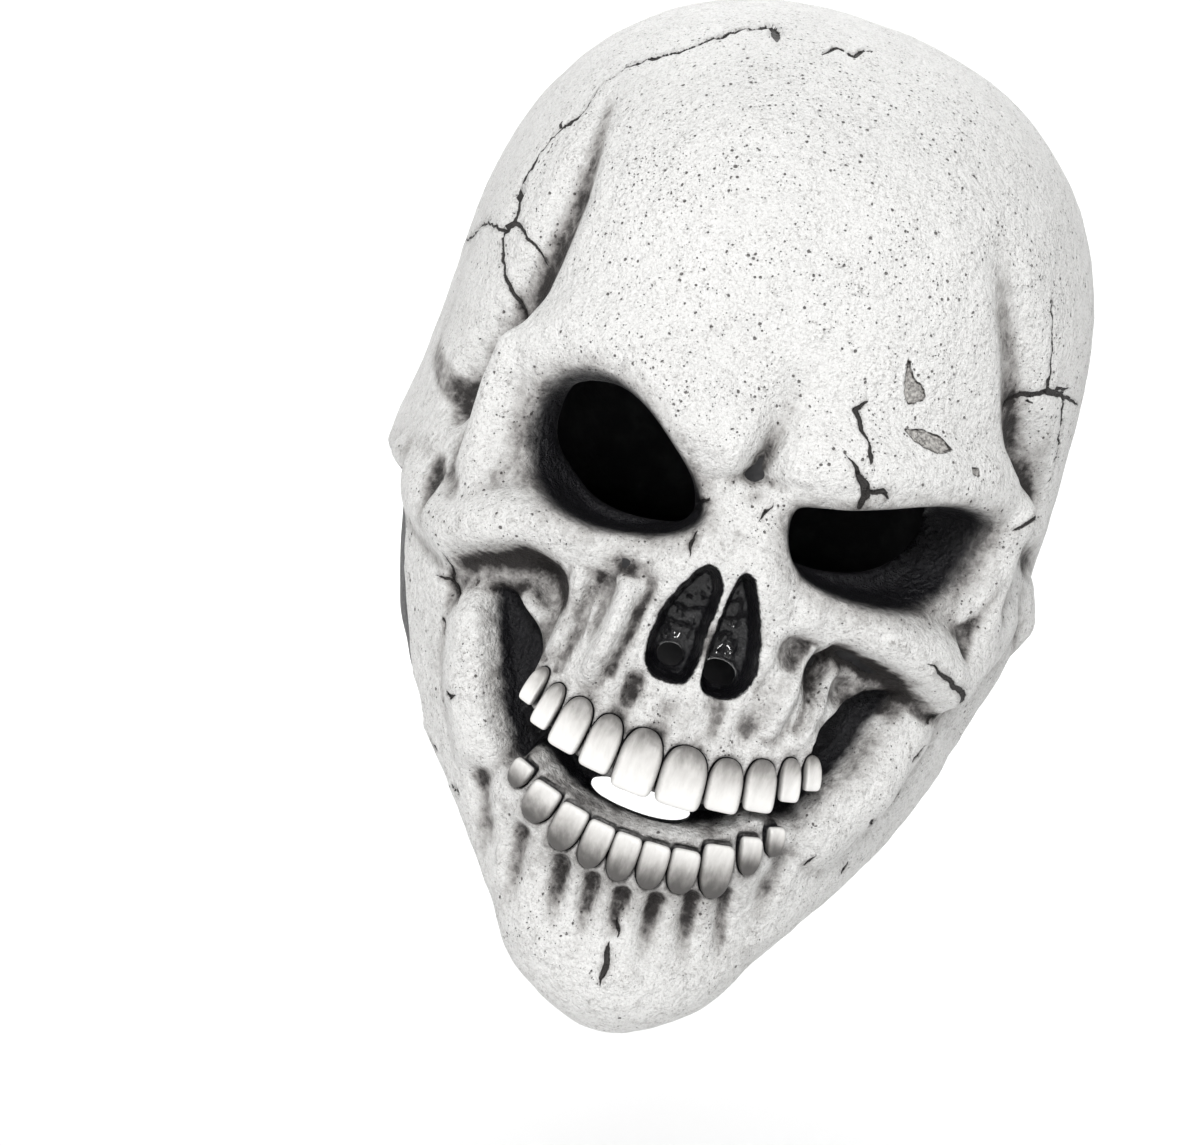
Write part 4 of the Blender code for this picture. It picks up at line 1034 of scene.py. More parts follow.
class SkinShape:
    """Heights over the plain form and the fields that the paint follows."""

    def __init__(self, form):
        self.form = form
        self.sockets = [smooth_outline(corners) for corners in SOCKETS.values()]
        self.lobes = [smooth_outline(corners) for corners in NOSE_LOBES.values()]
        self.recess = smooth_outline(CHEEK_RECESS)
        self.plugs = {name: Plug(form, outline) for name, outline in opening_outlines().items()}
        self.chips = [np.array(corners) for corners in CHIPS.values()]
        self.cracks = {name: crack_paths(form, table, seed) for name, (table, seed) in CRACK_SETS.items()}
        bone = bone_height(form, form.across.ravel(), form.down.ravel()).reshape(form.across.shape) / MM
        self.hollow_small = blurred(bone, 3, 2) - bone
        self.hollow_large = blurred(bone, 12, 7) - bone
        self.skin = self.plain_height(form.across.ravel(), form.down.ravel()).reshape(form.across.shape)
        self.lining = self.rolled_under(self.skin)

    def plain_height(self, across, down):
        """The skin with its sockets, nose, recess and neck, as the solid has them."""
        sizes = self.form.sizes
        height = bone_height(self.form, across, down, fine=False)
        for outline in self.sockets:
            share = smooth_step(0.0, SOCKET_WALL, inside_distance(across, down, outline))
            height = sunk(height, share, sizes.socket_depth)
        for outline in self.lobes:
            share = smooth_step(0.0, NOSE_WALL, inside_distance(across, down, outline))
            height = height - sizes.nose_depth * share
        share = smooth_step(-RECESS_WALL / 2, RECESS_WALL, inside_distance(across, down, self.recess))
        height = sunk(height, share, sizes.recess_depth)
        return sunk(height, neck_share(across, down), sizes.neck_step)

    def rolled_under(self, height):
        """The inner skin: a ball of the wall's radius rolls along under the outer skin."""
        wall = self.form.sizes.wall
        points = self.form.points_at(self.form.turn, self.form.level)
        lowest = height - wall
        for rows in range(-4, 5):
            for columns in range(-7, 8):
                moved = np.roll(points, (rows, columns), axis=(0, 1))
                distance = np.linalg.norm(moved - points, axis=-1)
                drop = np.sqrt(np.clip(wall**2 - distance**2, 0.0, None))
                under = np.roll(height, (rows, columns), axis=(0, 1)) - drop
                near = distance < wall
                if rows > 0:
                    near[:rows] = False
                if rows < 0:
                    near[rows:] = False
                lowest = np.where(near, np.minimum(lowest, under), lowest)
        return lowest

    def on_plug(self, name, turn, level, heights):
        """Distance inside an opening's plug and the places over it, for the surface of those heights."""
        form = self.form
        height = form.read(heights, turn, level)
        points = form.points_at(turn, level) + form.normals_at(turn, level) * height[:, None]
        return self.plugs[name].inside(points)

    def opening_distance(self, places, heights):
        """How far outside the nearest opening a place lies."""
        inside = [self.on_plug(name, places.turn, places.level, heights)[0] for name in self.plugs]
        return -np.max(inside, axis=0)

    def chip_distance(self, across, down):
        return inside_any(across, down, self.chips, 0.05)

    def crack_distance(self, places):
        """Distance to the nearest crack of any kind, in mm."""
        return np.abs(crack_field(places, [path for paths in self.cracks.values() for path in paths])[0])

    def rounding(self, places, heights, radius=0.010):
        """How far the skin bends down at the lip of an opening."""
        away = np.clip(self.opening_distance(places, heights) / radius, 0.0, 1.0)
        return (1 - np.sqrt(np.clip(1 - (1 - away) ** 2, 0.0, 1.0))) * radius * self.form.girth

    def lining_height(self, places):
        return self.form.read(self.lining, places.turn, places.level) + self.rounding(places, self.lining)

    def fields(self, places):
        """Heights in metres, and the paint's fields, mostly as distances in mm."""
        form = self.form
        sizes = form.sizes
        across = places.across
        down = places.down
        to_mm = form.girth / MM
        bone = bone_height(form, across, down)
        coarse = lumps(places.base, 0.011, 3.0) * COARSE_LUMPS + lumps(places.base, 0.0042, 7.0) * FINE_LUMPS
        height = bone + coarse
        ragged = lumps(places.base, 0.0028, 11.0)
        finer = lumps(places.base, 0.0013, 17.0)

        # Each tooth sits in a sunk socket, under a raised collar of gum.
        tooth, gumward = tooth_field(form, across, down)
        collar = np.exp(-((tooth / 0.026) ** 2)) * smooth_step(-0.4, 0.5, gumward) * (tooth > -0.049)
        height = height + GUM_COLLAR * collar
        height = height - TOOTH_SEAT * smooth_step(-0.004, 0.003, tooth)

        socket = inside_any(across, down, self.sockets)
        height = sunk(height, smooth_step(0.0, SOCKET_WALL, socket), sizes.socket_depth)
        lobes = inside_any(across, down, self.lobes) + ragged * 0.003
        share = smooth_step(0.0, NOSE_WALL, lobes)
        wet = lumps(places.base, 0.0024, 23.0) * WET_DRIPS + finer * WET_GRAIN
        height = height + (-sizes.nose_depth + wet) * share
        recess = inside_distance(across, down, self.recess) + ragged * 0.0015
        share = smooth_step(-RECESS_WALL / 2, RECESS_WALL, recess)
        height = height + (-sizes.recess_depth - height + coarse * 2) * share
        height = sunk(height, neck_share(across, down), sizes.neck_step)

        cracks = {}
        stain = np.zeros_like(across)
        for name, paths in self.cracks.items():
            signed, width = crack_field(places, paths)
            cracks[name] = signed
            cracks[name + "_width"] = width
            gap = np.clip(width, 0.0, None)
            split = smooth_step(-0.25, 0.35, gap + 0.15 - np.abs(signed)) * (gap > 0.02)
            height = height - split * (CRACK_DEPTH + CRACK_DEPTH_PER_WIDTH * gap) * MM
            swell = np.exp(-((np.abs(signed) - gap - 0.7) / 0.5) ** 2) * (gap > 0.15)
            height = height + CRACK_SWELL * MM * swell
            stain = np.maximum(stain, np.exp(-((np.abs(signed) / (0.8 + gap)) ** 2)) * (gap > 0.1))
        chip = self.chip_distance(across, down) + ragged * 0.004 + finer * 0.002
        share = smooth_step(-0.001, 0.005, chip)
        height = height - share * (CHIP_DEPTH + CHIP_UNEVENNESS * finer) * MM
        height = height - self.rounding(places, self.skin)

        wash_and_shade = sum(np.clip(stroke(across, down, rows), 0.0, 1.0) for rows in WASH_AND_SHADE_STROKES.values())
        # The plain forehead, the sockets' rims and the nape stay nearly free of the wash and painted shade in
        # the hollows.
        calm = 1 - 0.85 * smooth_step(1.04, 0.92, down) * smooth_step(0.70, 0.58, np.abs(across))
        calm = calm * (1 - 0.7 * smooth_step(-0.12, -0.02, socket))
        calm = calm * smooth_step(2.3, 1.7, np.abs(across))
        # Grey wash and painted shade: the deeper a place lies below its surroundings, the darker it is
        # painted.
        small = np.clip(form.read(self.hollow_small, places.turn, places.level) / 0.30, -0.4, 1.0)
        large = np.clip(form.read(self.hollow_large, places.turn, places.level) / 1.6, -0.4, 1.0)
        hollow = calm * (SMALL_HOLLOW_SHADE * small + LARGE_HOLLOW_SHADE * large)
        # Painted shade on the bone round each socket's rim, darkening towards the socket.
        outside = smooth_step(-0.060, 0.012, socket) * SOCKET_EDGE_SHADE
        gum = np.exp(-((np.clip(-tooth, 0, None) / 0.012) ** 2)) * GUM_SHADE
        # Painted shade on the bone at the lip of the cheek recess.
        under = smooth_step(-0.02, 0.004, recess) * RECESS_EDGE_SHADE
        shade = np.clip(hollow, 0.0, 1.1) + BRUSHED_SHADE * wash_and_shade + outside + gum + under + CRACK_SHADE * stain
        return {
            "height": height,
            "wash_and_shade": shade,
            "socket": socket * to_mm,
            "nose": lobes * to_mm,
            "recess": recess * to_mm,
            "neck": np.minimum(*neck_reach(across, down)) * to_mm,
            "tooth": tooth * to_mm,
            "gumward": gumward,
            "chip": chip * to_mm,
            **cracks,
        }


def flat_grid(columns, dome_rows, face_rows):
    """A flat sheet of quads over turn and level, from just under the crown down to the rim."""
    sheet = bmesh.new()
    turns = np.linspace(-1, 1, columns + 1)
    dome = np.linspace(0.0, 1.0, dome_rows + 1)[1:]
    face = 1.0 + np.linspace(0.0, 1.0, face_rows + 1)[1:]
    levels = np.concatenate([dome, face])
    rows = [[sheet.verts.new((turn, level, 0.0)) for turn in turns] for level in levels]
    for upper, lower in zip(rows[:-1], rows[1:]):
        for k in range(columns):
            sheet.faces.new((upper[k], lower[k], lower[k + 1], upper[k + 1]))
    return sheet


def middles_of(sheet):
    return np.array([face.calc_center_median()[:2] for face in sheet.faces])


def refine(sheet, form, wanted):
    """Halves the edges of the faces that are wanted."""
    middles = middles_of(sheet)
    chosen = wanted(Places(form, middles[:, 0], middles[:, 1]))
    edges = set()
    for face, pick in zip(sheet.faces, chosen):
        if pick:
            edges.update(face.edges)
    bmesh.ops.subdivide_edges(sheet, edges=list(edges), cuts=1, use_grid_fill=True)


def cut_openings(sheet, shape, heights):
    """Takes out the faces inside each opening, pulls the cut's edge onto it and puts the edge in order."""
    rims = {}
    for name in shape.plugs:
        middles = middles_of(sheet)
        inside = shape.on_plug(name, middles[:, 0], middles[:, 1], heights)[0] > 0
        doomed = [face for face, gone in zip(sheet.faces, inside) if gone]
        border = {edge for face in doomed for edge in face.edges}
        bmesh.ops.delete(sheet, geom=doomed, context="FACES")
        rim = {vert for edge in border if edge.is_valid for vert in edge.verts}
        rim = sorted((vert for vert in rim if vert.is_boundary), key=lambda vert: tuple(vert.co))
        spots = np.array([vert.co[:2] for vert in rim])
        for _ in range(5):
            away, slope = opening_slope(shape, name, spots, heights)
            spots -= away[:, None] * slope / (slope**2).sum(axis=1, keepdims=True)
        for vert, spot in zip(rim, spots):
            vert.co.x, vert.co.y = spot
        plug = shape.plugs[name]
        places = shape.on_plug(name, spots[:, 0], spots[:, 1], heights)[1] - plug.outline.mean(axis=0)
        angles = np.arctan2(places[:, 1], places[:, 0])
        order = np.argsort(angles)
        rims[name] = ([rim[i] for i in order], angles[order])
    return rims


def opening_slope(shape, name, spots, heights, step=4e-4):
    """Distance inside an opening at some spots, and how fast it grows with the turn and the level."""

    def inside(turn_step, level_step):
        return shape.on_plug(name, spots[:, 0] + turn_step, spots[:, 1] + level_step, heights)[0]

    slope = np.stack([inside(step, 0) - inside(-step, 0), inside(0, step) - inside(0, -step)], axis=1)
    return inside(0, 0), slope / (2 * step)


def bridge(first, first_at, second, second_at, span):
    """Triangles between two closed rings of point numbers whose places run round together."""
    faces = []
    i = 0
    j = 0
    while i < len(first) or j < len(second):
        next_first = first_at[i + 1] if i + 1 < len(first) else first_at[0] + span
        next_second = second_at[j + 1] if j + 1 < len(second) else second_at[0] + span
        a = first[i % len(first)]
        b = second[j % len(second)]
        if j >= len(second) or (i < len(first) and next_first <= next_second):
            faces.append((a, first[(i + 1) % len(first)], b))
            i += 1
        else:
            faces.append((a, second[(j + 1) % len(second)], b))
            j += 1
    return faces


def skin_mesh(form, shape):
    """The whole skin: outer surface, lining, the lips of the openings and the neck rim."""

    def near_face(places):
        level_with_face = (places.down > FINE_FACE_TOP) & (places.down < FINE_FACE_BOTTOM)
        face = (np.abs(places.across) < FINE_FACE_HALF) & level_with_face
        chipped = shape.chip_distance(places.across, places.down) > -0.02
        return face | (shape.crack_distance(places) < FINE_CRACK_REACH) | chipped

    def near_detail(places):
        across = places.across
        down = places.down
        tooth, _ = tooth_field(form, across, down)
        opening = shape.opening_distance(places, shape.skin)
        return (
            (np.abs(tooth) < FINEST_REACH)
            | ((inside_any(across, down, shape.lobes) > -0.006) & (opening > -0.01))
            | (np.abs(inside_distance(across, down, shape.recess)) < FINEST_REACH)
            | (shape.crack_distance(places) < FINEST_CRACK_REACH)
            | (np.abs(shape.chip_distance(across, down)) < 0.010)
            | (np.abs(opening) < 0.012)
        )

    outer = flat_grid(SKIN_COLUMNS, SKIN_DOME_ROWS, SKIN_FACE_ROWS)
    refine(outer, form, near_face)
    refine(outer, form, near_detail)
    outer_rims = cut_openings(outer, shape, shape.skin)
    lining = flat_grid(LINING_COLUMNS, LINING_DOME_ROWS, LINING_FACE_ROWS)
    refine(lining, form, lambda places: np.abs(shape.opening_distance(places, shape.lining)) < 0.03)
    lining_rims = cut_openings(lining, shape, shape.lining)

    points = []
    faces = []
    finishes = []
    rings = {}
    offset = 0
    for sheet, rims, is_outer in ((outer, outer_rims, True), (lining, lining_rims, False)):
        sheet.verts.index_update()
        spots = np.array([vert.co[:2] for vert in sheet.verts])
        places = Places(form, spots[:, 0], spots[:, 1])
        if is_outer:
            fields = shape.fields(places)
            height = fields.pop("height")
        else:
            height = shape.lining_height(places)
        points.append(places.base + places.normal * height[:, None])
        for face in sheet.faces:
            loop = [offset + vert.index for vert in face.verts]
            faces.append(loop if is_outer else loop[::-1])
            finishes.append(0 if is_outer else 1)
        for name, (ordered, angles) in rims.items():
            rings.setdefault(name, []).append(([offset + vert.index for vert in ordered], angles))
        for name, level in (("rim", spots[:, 1].max()), ("crown", spots[:, 1].min())):
            edge = np.flatnonzero(np.abs(spots[:, 1] - level) < 1e-6)
            edge = edge[np.argsort(spots[edge, 0])][:-1]
            rings.setdefault(name, []).append((list(offset + edge), spots[edge, 0]))
        offset += len(spots)
    crowns = rings.pop("crown")
    for name, (first, second) in rings.items():
        strip = bridge(*first, *second, 2.0 if name == "rim" else 2 * math.pi)
        faces.extend(strip)
        finishes.extend([1] * len(strip))
    crown_y = form.sizes.depth * SECTIONS[0][5]
    for (ring, _), z in zip(crowns, (form.sizes.wall, 0.0)):
        points.append(np.array([[0.0, crown_y, z]]))
        for k, here in enumerate(ring):
            faces.append((offset, here, ring[(k + 1) % len(ring)]))
            finishes.append(0 if z > 0 else 1)
        offset += 1
    outer.free()
    lining.free()
    return np.concatenate(points), faces, finishes, fields


def add_skin(form):
    shape = SkinShape(form)
    points, faces, finishes, fields = skin_mesh(form, shape)
    mesh = bpy.data.meshes.new("skull_skin")
    mesh.from_pydata([tuple(point) for point in points], [], faces)
    mesh.polygons.foreach_set("material_index", finishes)
    for name, values in fields.items():
        filled = np.full(len(points), -1.0, np.float32)
        filled[: len(values)] = values
        mesh.attributes.new(name, "FLOAT", "POINT").data.foreach_set("value", filled)
    soup = bmesh.new()
    soup.from_mesh(mesh)
    seam = [vert for vert in soup.verts if abs(vert.co.x) < SEAM_HALF and vert.co.y > 0]
    bmesh.ops.remove_doubles(soup, verts=seam, dist=SEAM_MERGE)
    bmesh.ops.recalc_face_normals(soup, faces=soup.faces)
    if soup.calc_volume(signed=True) < 0:
        bmesh.ops.reverse_faces(soup, faces=soup.faces)
    soup.to_mesh(mesh)
    soup.free()
    mesh.shade_smooth()
    skin = bpy.data.objects.new("skull_skin", mesh)
    bpy.context.scene.collection.objects.link(skin)
    return skin


def add_tooth(form, tooth, cast):
    """A tooth is a copy of one subdivided block, rounded and laid on the bone."""
    sizes = form.sizes
    mesh = cast.data.copy()
    count = len(mesh.vertices)
    block = np.empty(count * 3)
    mesh.vertices.foreach_get("co", block)
    block = block.reshape(-1, 3)
    wide, thick, tall = block.T
    upward = tooth["upward"]
    squareness = tooth_squareness(tall, upward)
    edge = TOOTH_EDGE_SQUARENESS
    outline = (np.abs(wide) ** squareness + np.abs(tall) ** squareness) ** (1 / squareness)
    front = (outline**edge + np.abs(thick) ** edge) ** (1 / edge)
    wide, thick, tall = wide / front, thick / front, tall / front
    gumward = tall * upward
    narrow = 1 - TOOTH_NARROWING * smooth_step(-0.2, 1.0, gumward)
    across = wide * narrow * tooth["width"] / 2
    rise = tall * tooth["height"] / 2
    turn = tooth["turn"]
    place_across = tooth["across"] + across * math.cos(turn) + rise * math.sin(turn)
    place_down = tooth["down"] + across * math.sin(turn) - rise * math.cos(turn)
    base, normal = form.place(place_across, place_down)
    seat = bone_height(form, place_across, place_down, fine=False)
    lean = TOOTH_LIFT - TOOTH_LIFT_LOST_AT_GUM * smooth_step(-0.6, 1.0, gumward)
    lift = sizes.tooth_thickness * (lean + TOOTH_FRONT_LIFT * thick)
    lift = lift - TOOTH_RIDGE * np.cos(wide * math.pi) * smooth_step(0.2, 0.9, thick)
    lift = lift + lumps(block * 0.5 + tooth["across"] * 9, 0.7, 5.0) * TOOTH_UNEVENNESS
    points = base + normal * (seat + lift)[:, None]
    mesh.vertices.foreach_set("co", points.ravel())
    # The lower teeth are darker all over.
    lower_row_darkening = np.full(count, 0.0 if upward > 0 else LOWER_TOOTH_DARKENING)
    fields = {"gumward": gumward, "lower_row_darkening": lower_row_darkening, "sideward": np.abs(wide), "frontward": thick}
    for name, values in fields.items():
        mesh.attributes.new(name, "FLOAT", "POINT").data.foreach_set("value", values)
    soup = bmesh.new()
    soup.from_mesh(mesh)
    bmesh.ops.recalc_face_normals(soup, faces=soup.faces)
    soup.to_mesh(mesh)
    soup.free()
    mesh.name = tooth["name"] + "_cast"
    mesh.shade_smooth()
    piece = bpy.data.objects.new(tooth["name"] + "_cast", mesh)
    bpy.context.scene.collection.objects.link(piece)
    return piece


class Graph:
    """Short ways to add and join shader nodes."""

    def __init__(self, tree):
        self.tree = tree

    def add(self, kind, inputs=None, **settings):
        node = self.tree.nodes.new(kind)
        for name, value in settings.items():
            setattr(node, name, value)
        self.feed_all(node, inputs or {})
        return node

    def feed_all(self, node, inputs):
        for name, value in inputs.items():
            self.feed(node.inputs[name], value)

    def feed(self, socket, value):
        if isinstance(value, bpy.types.NodeSocket):
            self.tree.links.new(value, socket)
        elif socket.type == "RGBA" and len(value) == 3:
            socket.default_value = (*value, 1.0)
        else:
            socket.default_value = value

    def math(self, operation, first, second=0.0, *others):
        """Two values put together, and then the others with them, one after another."""
        inputs = {0: first, 1: second}
        value = self.add("ShaderNodeMath", inputs, operation=operation).outputs[0]
        for other in others:
            value = self.math(operation, value, other)
        return value

    def times(self, first, second):
        return self.math("MULTIPLY", first, second)

    def sum(self, *values):
        return self.math("ADD", *values)

    def step(self, value, low, high):
        """0 under the low value, 1 over the high one, and smooth between."""
        inputs = {"Value": value, "From Min": low, "From Max": high}
        return self.add("ShaderNodeMapRange", inputs, interpolation_type="SMOOTHSTEP").outputs["Result"]

    def span(self, value, low, high):
        """The value from 0 to 1 spread from low to high."""
        inputs = {"Value": value, "To Min": low, "To Max": high}
        return self.add("ShaderNodeMapRange", inputs).outputs["Result"]

    def mix(self, share, first, second):
        """Between two colours."""
        return self.add("ShaderNodeMix", {0: share, 6: first, 7: second}, data_type="RGBA").outputs[2]

    def blend(self, share, first, second):
        """Between two plain values."""
        return self.add("ShaderNodeMix", {0: share, 2: first, 3: second}, data_type="FLOAT").outputs[0]

    def noise(self, vector, scale, detail=2.0, roughness=0.5):
        inputs = {"Vector": vector, "Scale": scale, "Detail": detail, "Roughness": roughness}
        return self.add("ShaderNodeTexNoise", inputs).outputs["Fac"]

    def attribute(self, name):
        return self.add("ShaderNodeAttribute", attribute_name=name).outputs["Fac"]

    def ragged(self, name, uneven, low, high):
        """A value that the surface carries, made uneven."""
        return self.sum(self.attribute(name), self.span(uneven, low, high))

    def stretch(self, vector, scale):
        return self.add("ShaderNodeMapping", {"Vector": vector, "Scale": scale}).outputs["Vector"]

    def nudged(self, vector, by, size):
        """A place moved a little by a varying colour."""
        small = self.add("ShaderNodeVectorMath", {0: by, "Scale": size}, operation="SCALE").outputs[0]
        return self.add("ShaderNodeVectorMath", {0: vector, 1: small}, operation="ADD").outputs[0]

    def bump(self, height, strength, distance):
        inputs = {"Height": height, "Strength": strength, "Distance": distance}
        return self.add("ShaderNodeBump", inputs).outputs["Normal"]


def new_group(name, inputs, outputs):
    group = bpy.data.node_groups.new(name, "ShaderNodeTree")
    for label, kind, default in inputs:
        socket = group.interface.new_socket(label, in_out="INPUT", socket_type=kind)
        if default is not None:
            socket.default_value = default
    for label, kind in outputs:
        group.interface.new_socket(label, in_out="OUTPUT", socket_type=kind)
    graph = Graph(group)
    source = group.nodes.new("NodeGroupInput").outputs
    sink = group.nodes.new("NodeGroupOutput").inputs
    return group, graph, source, sink


def pores_group():
    """Round pinholes of uneven size, in clusters."""
    group, graph, source, sink = new_group(
        "pinholes",
        [
            ("Vector", "NodeSocketVector", None),
            ("Scale", "NodeSocketFloat", 400.0),
            ("Size", "NodeSocketFloat", 0.16),
            ("Amount", "NodeSocketFloat", 0.5),
        ],
        [("Mask", "NodeSocketFloat")],
    )
    wobble = graph.add("ShaderNodeTexNoise", {"Vector": source["Vector"], "Scale": 900.0}).outputs["Color"]
    inputs = {0: wobble, 1: (0.5, 0.5, 0.5)}
    centred = graph.add("ShaderNodeVectorMath", inputs, operation="SUBTRACT").outputs[0]
    moved = graph.nudged(source["Vector"], centred, 0.0007)
    cells = graph.add("ShaderNodeTexVoronoi", {"Vector": moved, "Scale": source["Scale"]})
    colour = graph.add("ShaderNodeSeparateColor", {"Color": cells.outputs["Color"]}).outputs
    size = graph.times(source["Size"], graph.span(colour["Red"], 0.35, 1.3))
    away_from_hole = graph.step(cells.outputs["Distance"], graph.times(size, 0.55), size)
    hole = graph.math("SUBTRACT", 1.0, away_from_hole)
    clusters = graph.noise(source["Vector"], 60.0, 3.0, 0.6)
    chance = graph.sum(graph.span(clusters, -1.1, 1.1), source["Amount"])
    kept = graph.step(graph.math("SUBTRACT", chance, colour["Green"]), -0.02, 0.02)
    graph.feed(sink["Mask"], graph.times(hole, kept))
    return group


def brush_group():
    """Fine streaks that a dry brush leaves, up and down the face."""
    group, graph, source, sink = new_group(
        "brush_marks",
        [("Vector", "NodeSocketVector", None), ("Scale", "NodeSocketFloat", 420.0)],
        [("Value", "NodeSocketFloat")],
    )
    bend = graph.add("ShaderNodeTexNoise", {"Vector": source["Vector"], "Scale": 25.0}).outputs["Color"]
    moved = graph.nudged(source["Vector"], bend, 0.012)
    long = graph.stretch(moved, (1.0, 1.0, 0.28))
    graph.feed(sink["Value"], graph.noise(long, source["Scale"], 4.0, 0.6))
    return group


def place_group(graph, group, inputs):
    return graph.add("ShaderNodeGroup", inputs, node_tree=group).outputs[0]


def crack_mask(graph, name, uneven):
    """1 inside a crack whose signed distance and half width the surface carries."""
    away = graph.math("ABSOLUTE", graph.attribute(name))
    half = graph.ragged(name + "_width", uneven, -0.22, 0.34)
    return graph.step(graph.math("SUBTRACT", half, away), -0.02, 0.14)


def new_paint(name):
    """A new material, with its graph, its shader and the place on the object."""
    material = bpy.data.materials.new(name)
    material.use_nodes = True
    graph = Graph(material.node_tree)
    shader = material.node_tree.nodes["Principled BSDF"]
    return material, graph, shader, graph.add("ShaderNodeTexCoord").outputs["Object"]


# Tones of the weathering and of the painted shade, from pale to dark
RAW_PALE = (0.62, 0.60, 0.57)
GREY_TONE = (0.30, 0.285, 0.27)
WASH_AND_SHADE_TONE = (0.26, 0.245, 0.235)
DUST_AND_SHADE_TONE = (0.22, 0.205, 0.195)
RAW_DARK = (0.16, 0.15, 0.14)
TOOTH_SIDE_TONE = (0.09, 0.085, 0.08)
HOLE_TONE = (0.07, 0.062, 0.057)
LIP_TONE = (0.05, 0.045, 0.042)
WORN_BLACK = (0.050, 0.050, 0.056)
GUM_TONE = (0.040, 0.037, 0.035)
WORN_LINING = (0.030, 0.029, 0.031)
CRACK_TONE = (0.018, 0.016, 0.015)


def bone_material(colours, groups):
    material, graph, shader, where = new_paint("weathered_bone_paint")
    times = graph.times
    brush = place_group(graph, groups["brush"], {"Vector": where, "Scale": 480.0})
    fine_noise = graph.noise(where, 1100.0, 3.0, 0.6)
    soft_noise = graph.noise(where, 160.0, 4.0, 0.6)
    blotch = graph.noise(where, 38.0, 4.0, 0.55)
    grain = graph.noise(where, 480.0, 4.0, 0.65)
    height = graph.add("ShaderNodeSeparateXYZ", {"Vector": where}).outputs
    forehead = times(graph.step(height["Z"], -0.125, -0.060), graph.step(height["Y"], 0.02, -0.06))
    pores = []
    for scale, size, low, high in ((680.0, 0.26, 0.06, 0.36), (1150.0, 0.22, 0.26, 0.44)):
        amount = graph.span(forehead, low, high)
        inputs = {"Vector": where, "Scale": scale, "Size": size, "Amount": amount}
        pores.append(place_group(graph, groups["pores"], inputs))
    holes = graph.math("MAXIMUM", *pores)

    # Thin dark paint and painted shade gather in the hollows and break up along the brush strokes.
    wash_and_shade = times(graph.attribute("wash_and_shade"), graph.span(soft_noise, 0.45, 1.45))
    # A little more grey everywhere but on the forehead.
    off_forehead_grey = graph.span(forehead, 0.32, 0.03)
    unevenness = [
        graph.span(brush, -0.07, 0.05),
        graph.span(grain, -0.60, 0.58),
        graph.span(soft_noise, -0.16, 0.16),
    ]
    broken = graph.sum(wash_and_shade, off_forehead_grey, *unevenness)
    grey = graph.step(broken, 0.12, 1.15)
    dark = graph.step(broken, 0.75, 1.60)
    fleck = times(graph.step(brush, 0.62, 0.74), graph.step(blotch, 0.46, 0.66))
    dust = times(graph.step(fine_noise, 0.56, 0.66), graph.step(soft_noise, 0.46, 0.62))

    pale = graph.mix(graph.span(blotch, -0.1, 0.55), colours.bone, tuple(0.80 * c for c in colours.bone))
    speckle = times(graph.step(graph.noise(where, 1500.0, 2.0, 0.7), 0.50, 0.68), 0.34)
    pale = graph.mix(speckle, pale, DUST_AND_SHADE_TONE)
    colour = graph.mix(times(fleck, 0.45), pale, GREY_TONE)
    colour = graph.mix(times(dust, 0.55), colour, DUST_AND_SHADE_TONE)
    # The wash and painted shade first lay a greyish veil over the bone.
    veil = graph.step(graph.attribute("wash_and_shade"), 0.15, 1.90)
    colour = graph.mix(times(veil, 0.70), colour, DUST_AND_SHADE_TONE)
    # Grey, then near black, where the wash and painted shade are heaviest.
    colour = graph.mix(times(grey, 0.72), colour, WASH_AND_SHADE_TONE)
    colour = graph.mix(dark, colour, colours.wash_and_shade)
    colour = graph.mix(times(holes, 0.85), colour, HOLE_TONE)

    chip_in = graph.step(graph.ragged("chip", fine_noise, -0.35, 0.35), -0.05, 0.15)
    raw = graph.mix(graph.step(fine_noise, 0.35, 0.7), RAW_DARK, RAW_PALE)
    colour = graph.mix(times(chip_in, 0.85), colour, raw)
    from_lip = graph.math("ABSOLUTE", graph.math("SUBTRACT", graph.attribute("chip"), 0.15))
    lip = times(graph.step(from_lip, 0.32, 0.10), graph.step(grain, 0.36, 0.58))
    colour = graph.mix(lip, colour, LIP_TONE)
    cracks = graph.math("MAXIMUM", *(crack_mask(graph, name, fine_noise) for name in CRACK_SETS))
    colour = graph.mix(times(cracks, 0.96), colour, CRACK_TONE)

    # Solid black: sockets, nose, recess, neck and the thin line round each tooth.
    socket = graph.step(graph.ragged("socket", brush, -0.7, 0.7), -0.3, 2.2)
    nose = graph.step(graph.ragged("nose", fine_noise, -0.4, 0.4), 0.05, 0.45)
    recess = graph.step(graph.ragged("recess", soft_noise, -0.7, 0.7), 0.2, 1.3)
    neck = graph.step(graph.ragged("neck", soft_noise, -1.2, 1.2), -0.8, 0.8)
    tooth = graph.step(graph.ragged("tooth", fine_noise, -0.1, 0.1), -0.22, -0.06)
    gumward = graph.span(graph.step(graph.attribute("gumward"), -1.0, -0.7), 0.25, 1.0)
    face_black = graph.math("MAXIMUM", socket, nose)
    side_black = graph.math("MAXIMUM", recess, neck)
    black = graph.math("MAXIMUM", face_black, side_black, times(tooth, gumward))
    worn = times(graph.step(brush, 0.55, 0.78), graph.span(nose, 0.35, 0.0))
    colour = graph.mix(black, colour, graph.mix(worn, colours.black, WORN_BLACK))

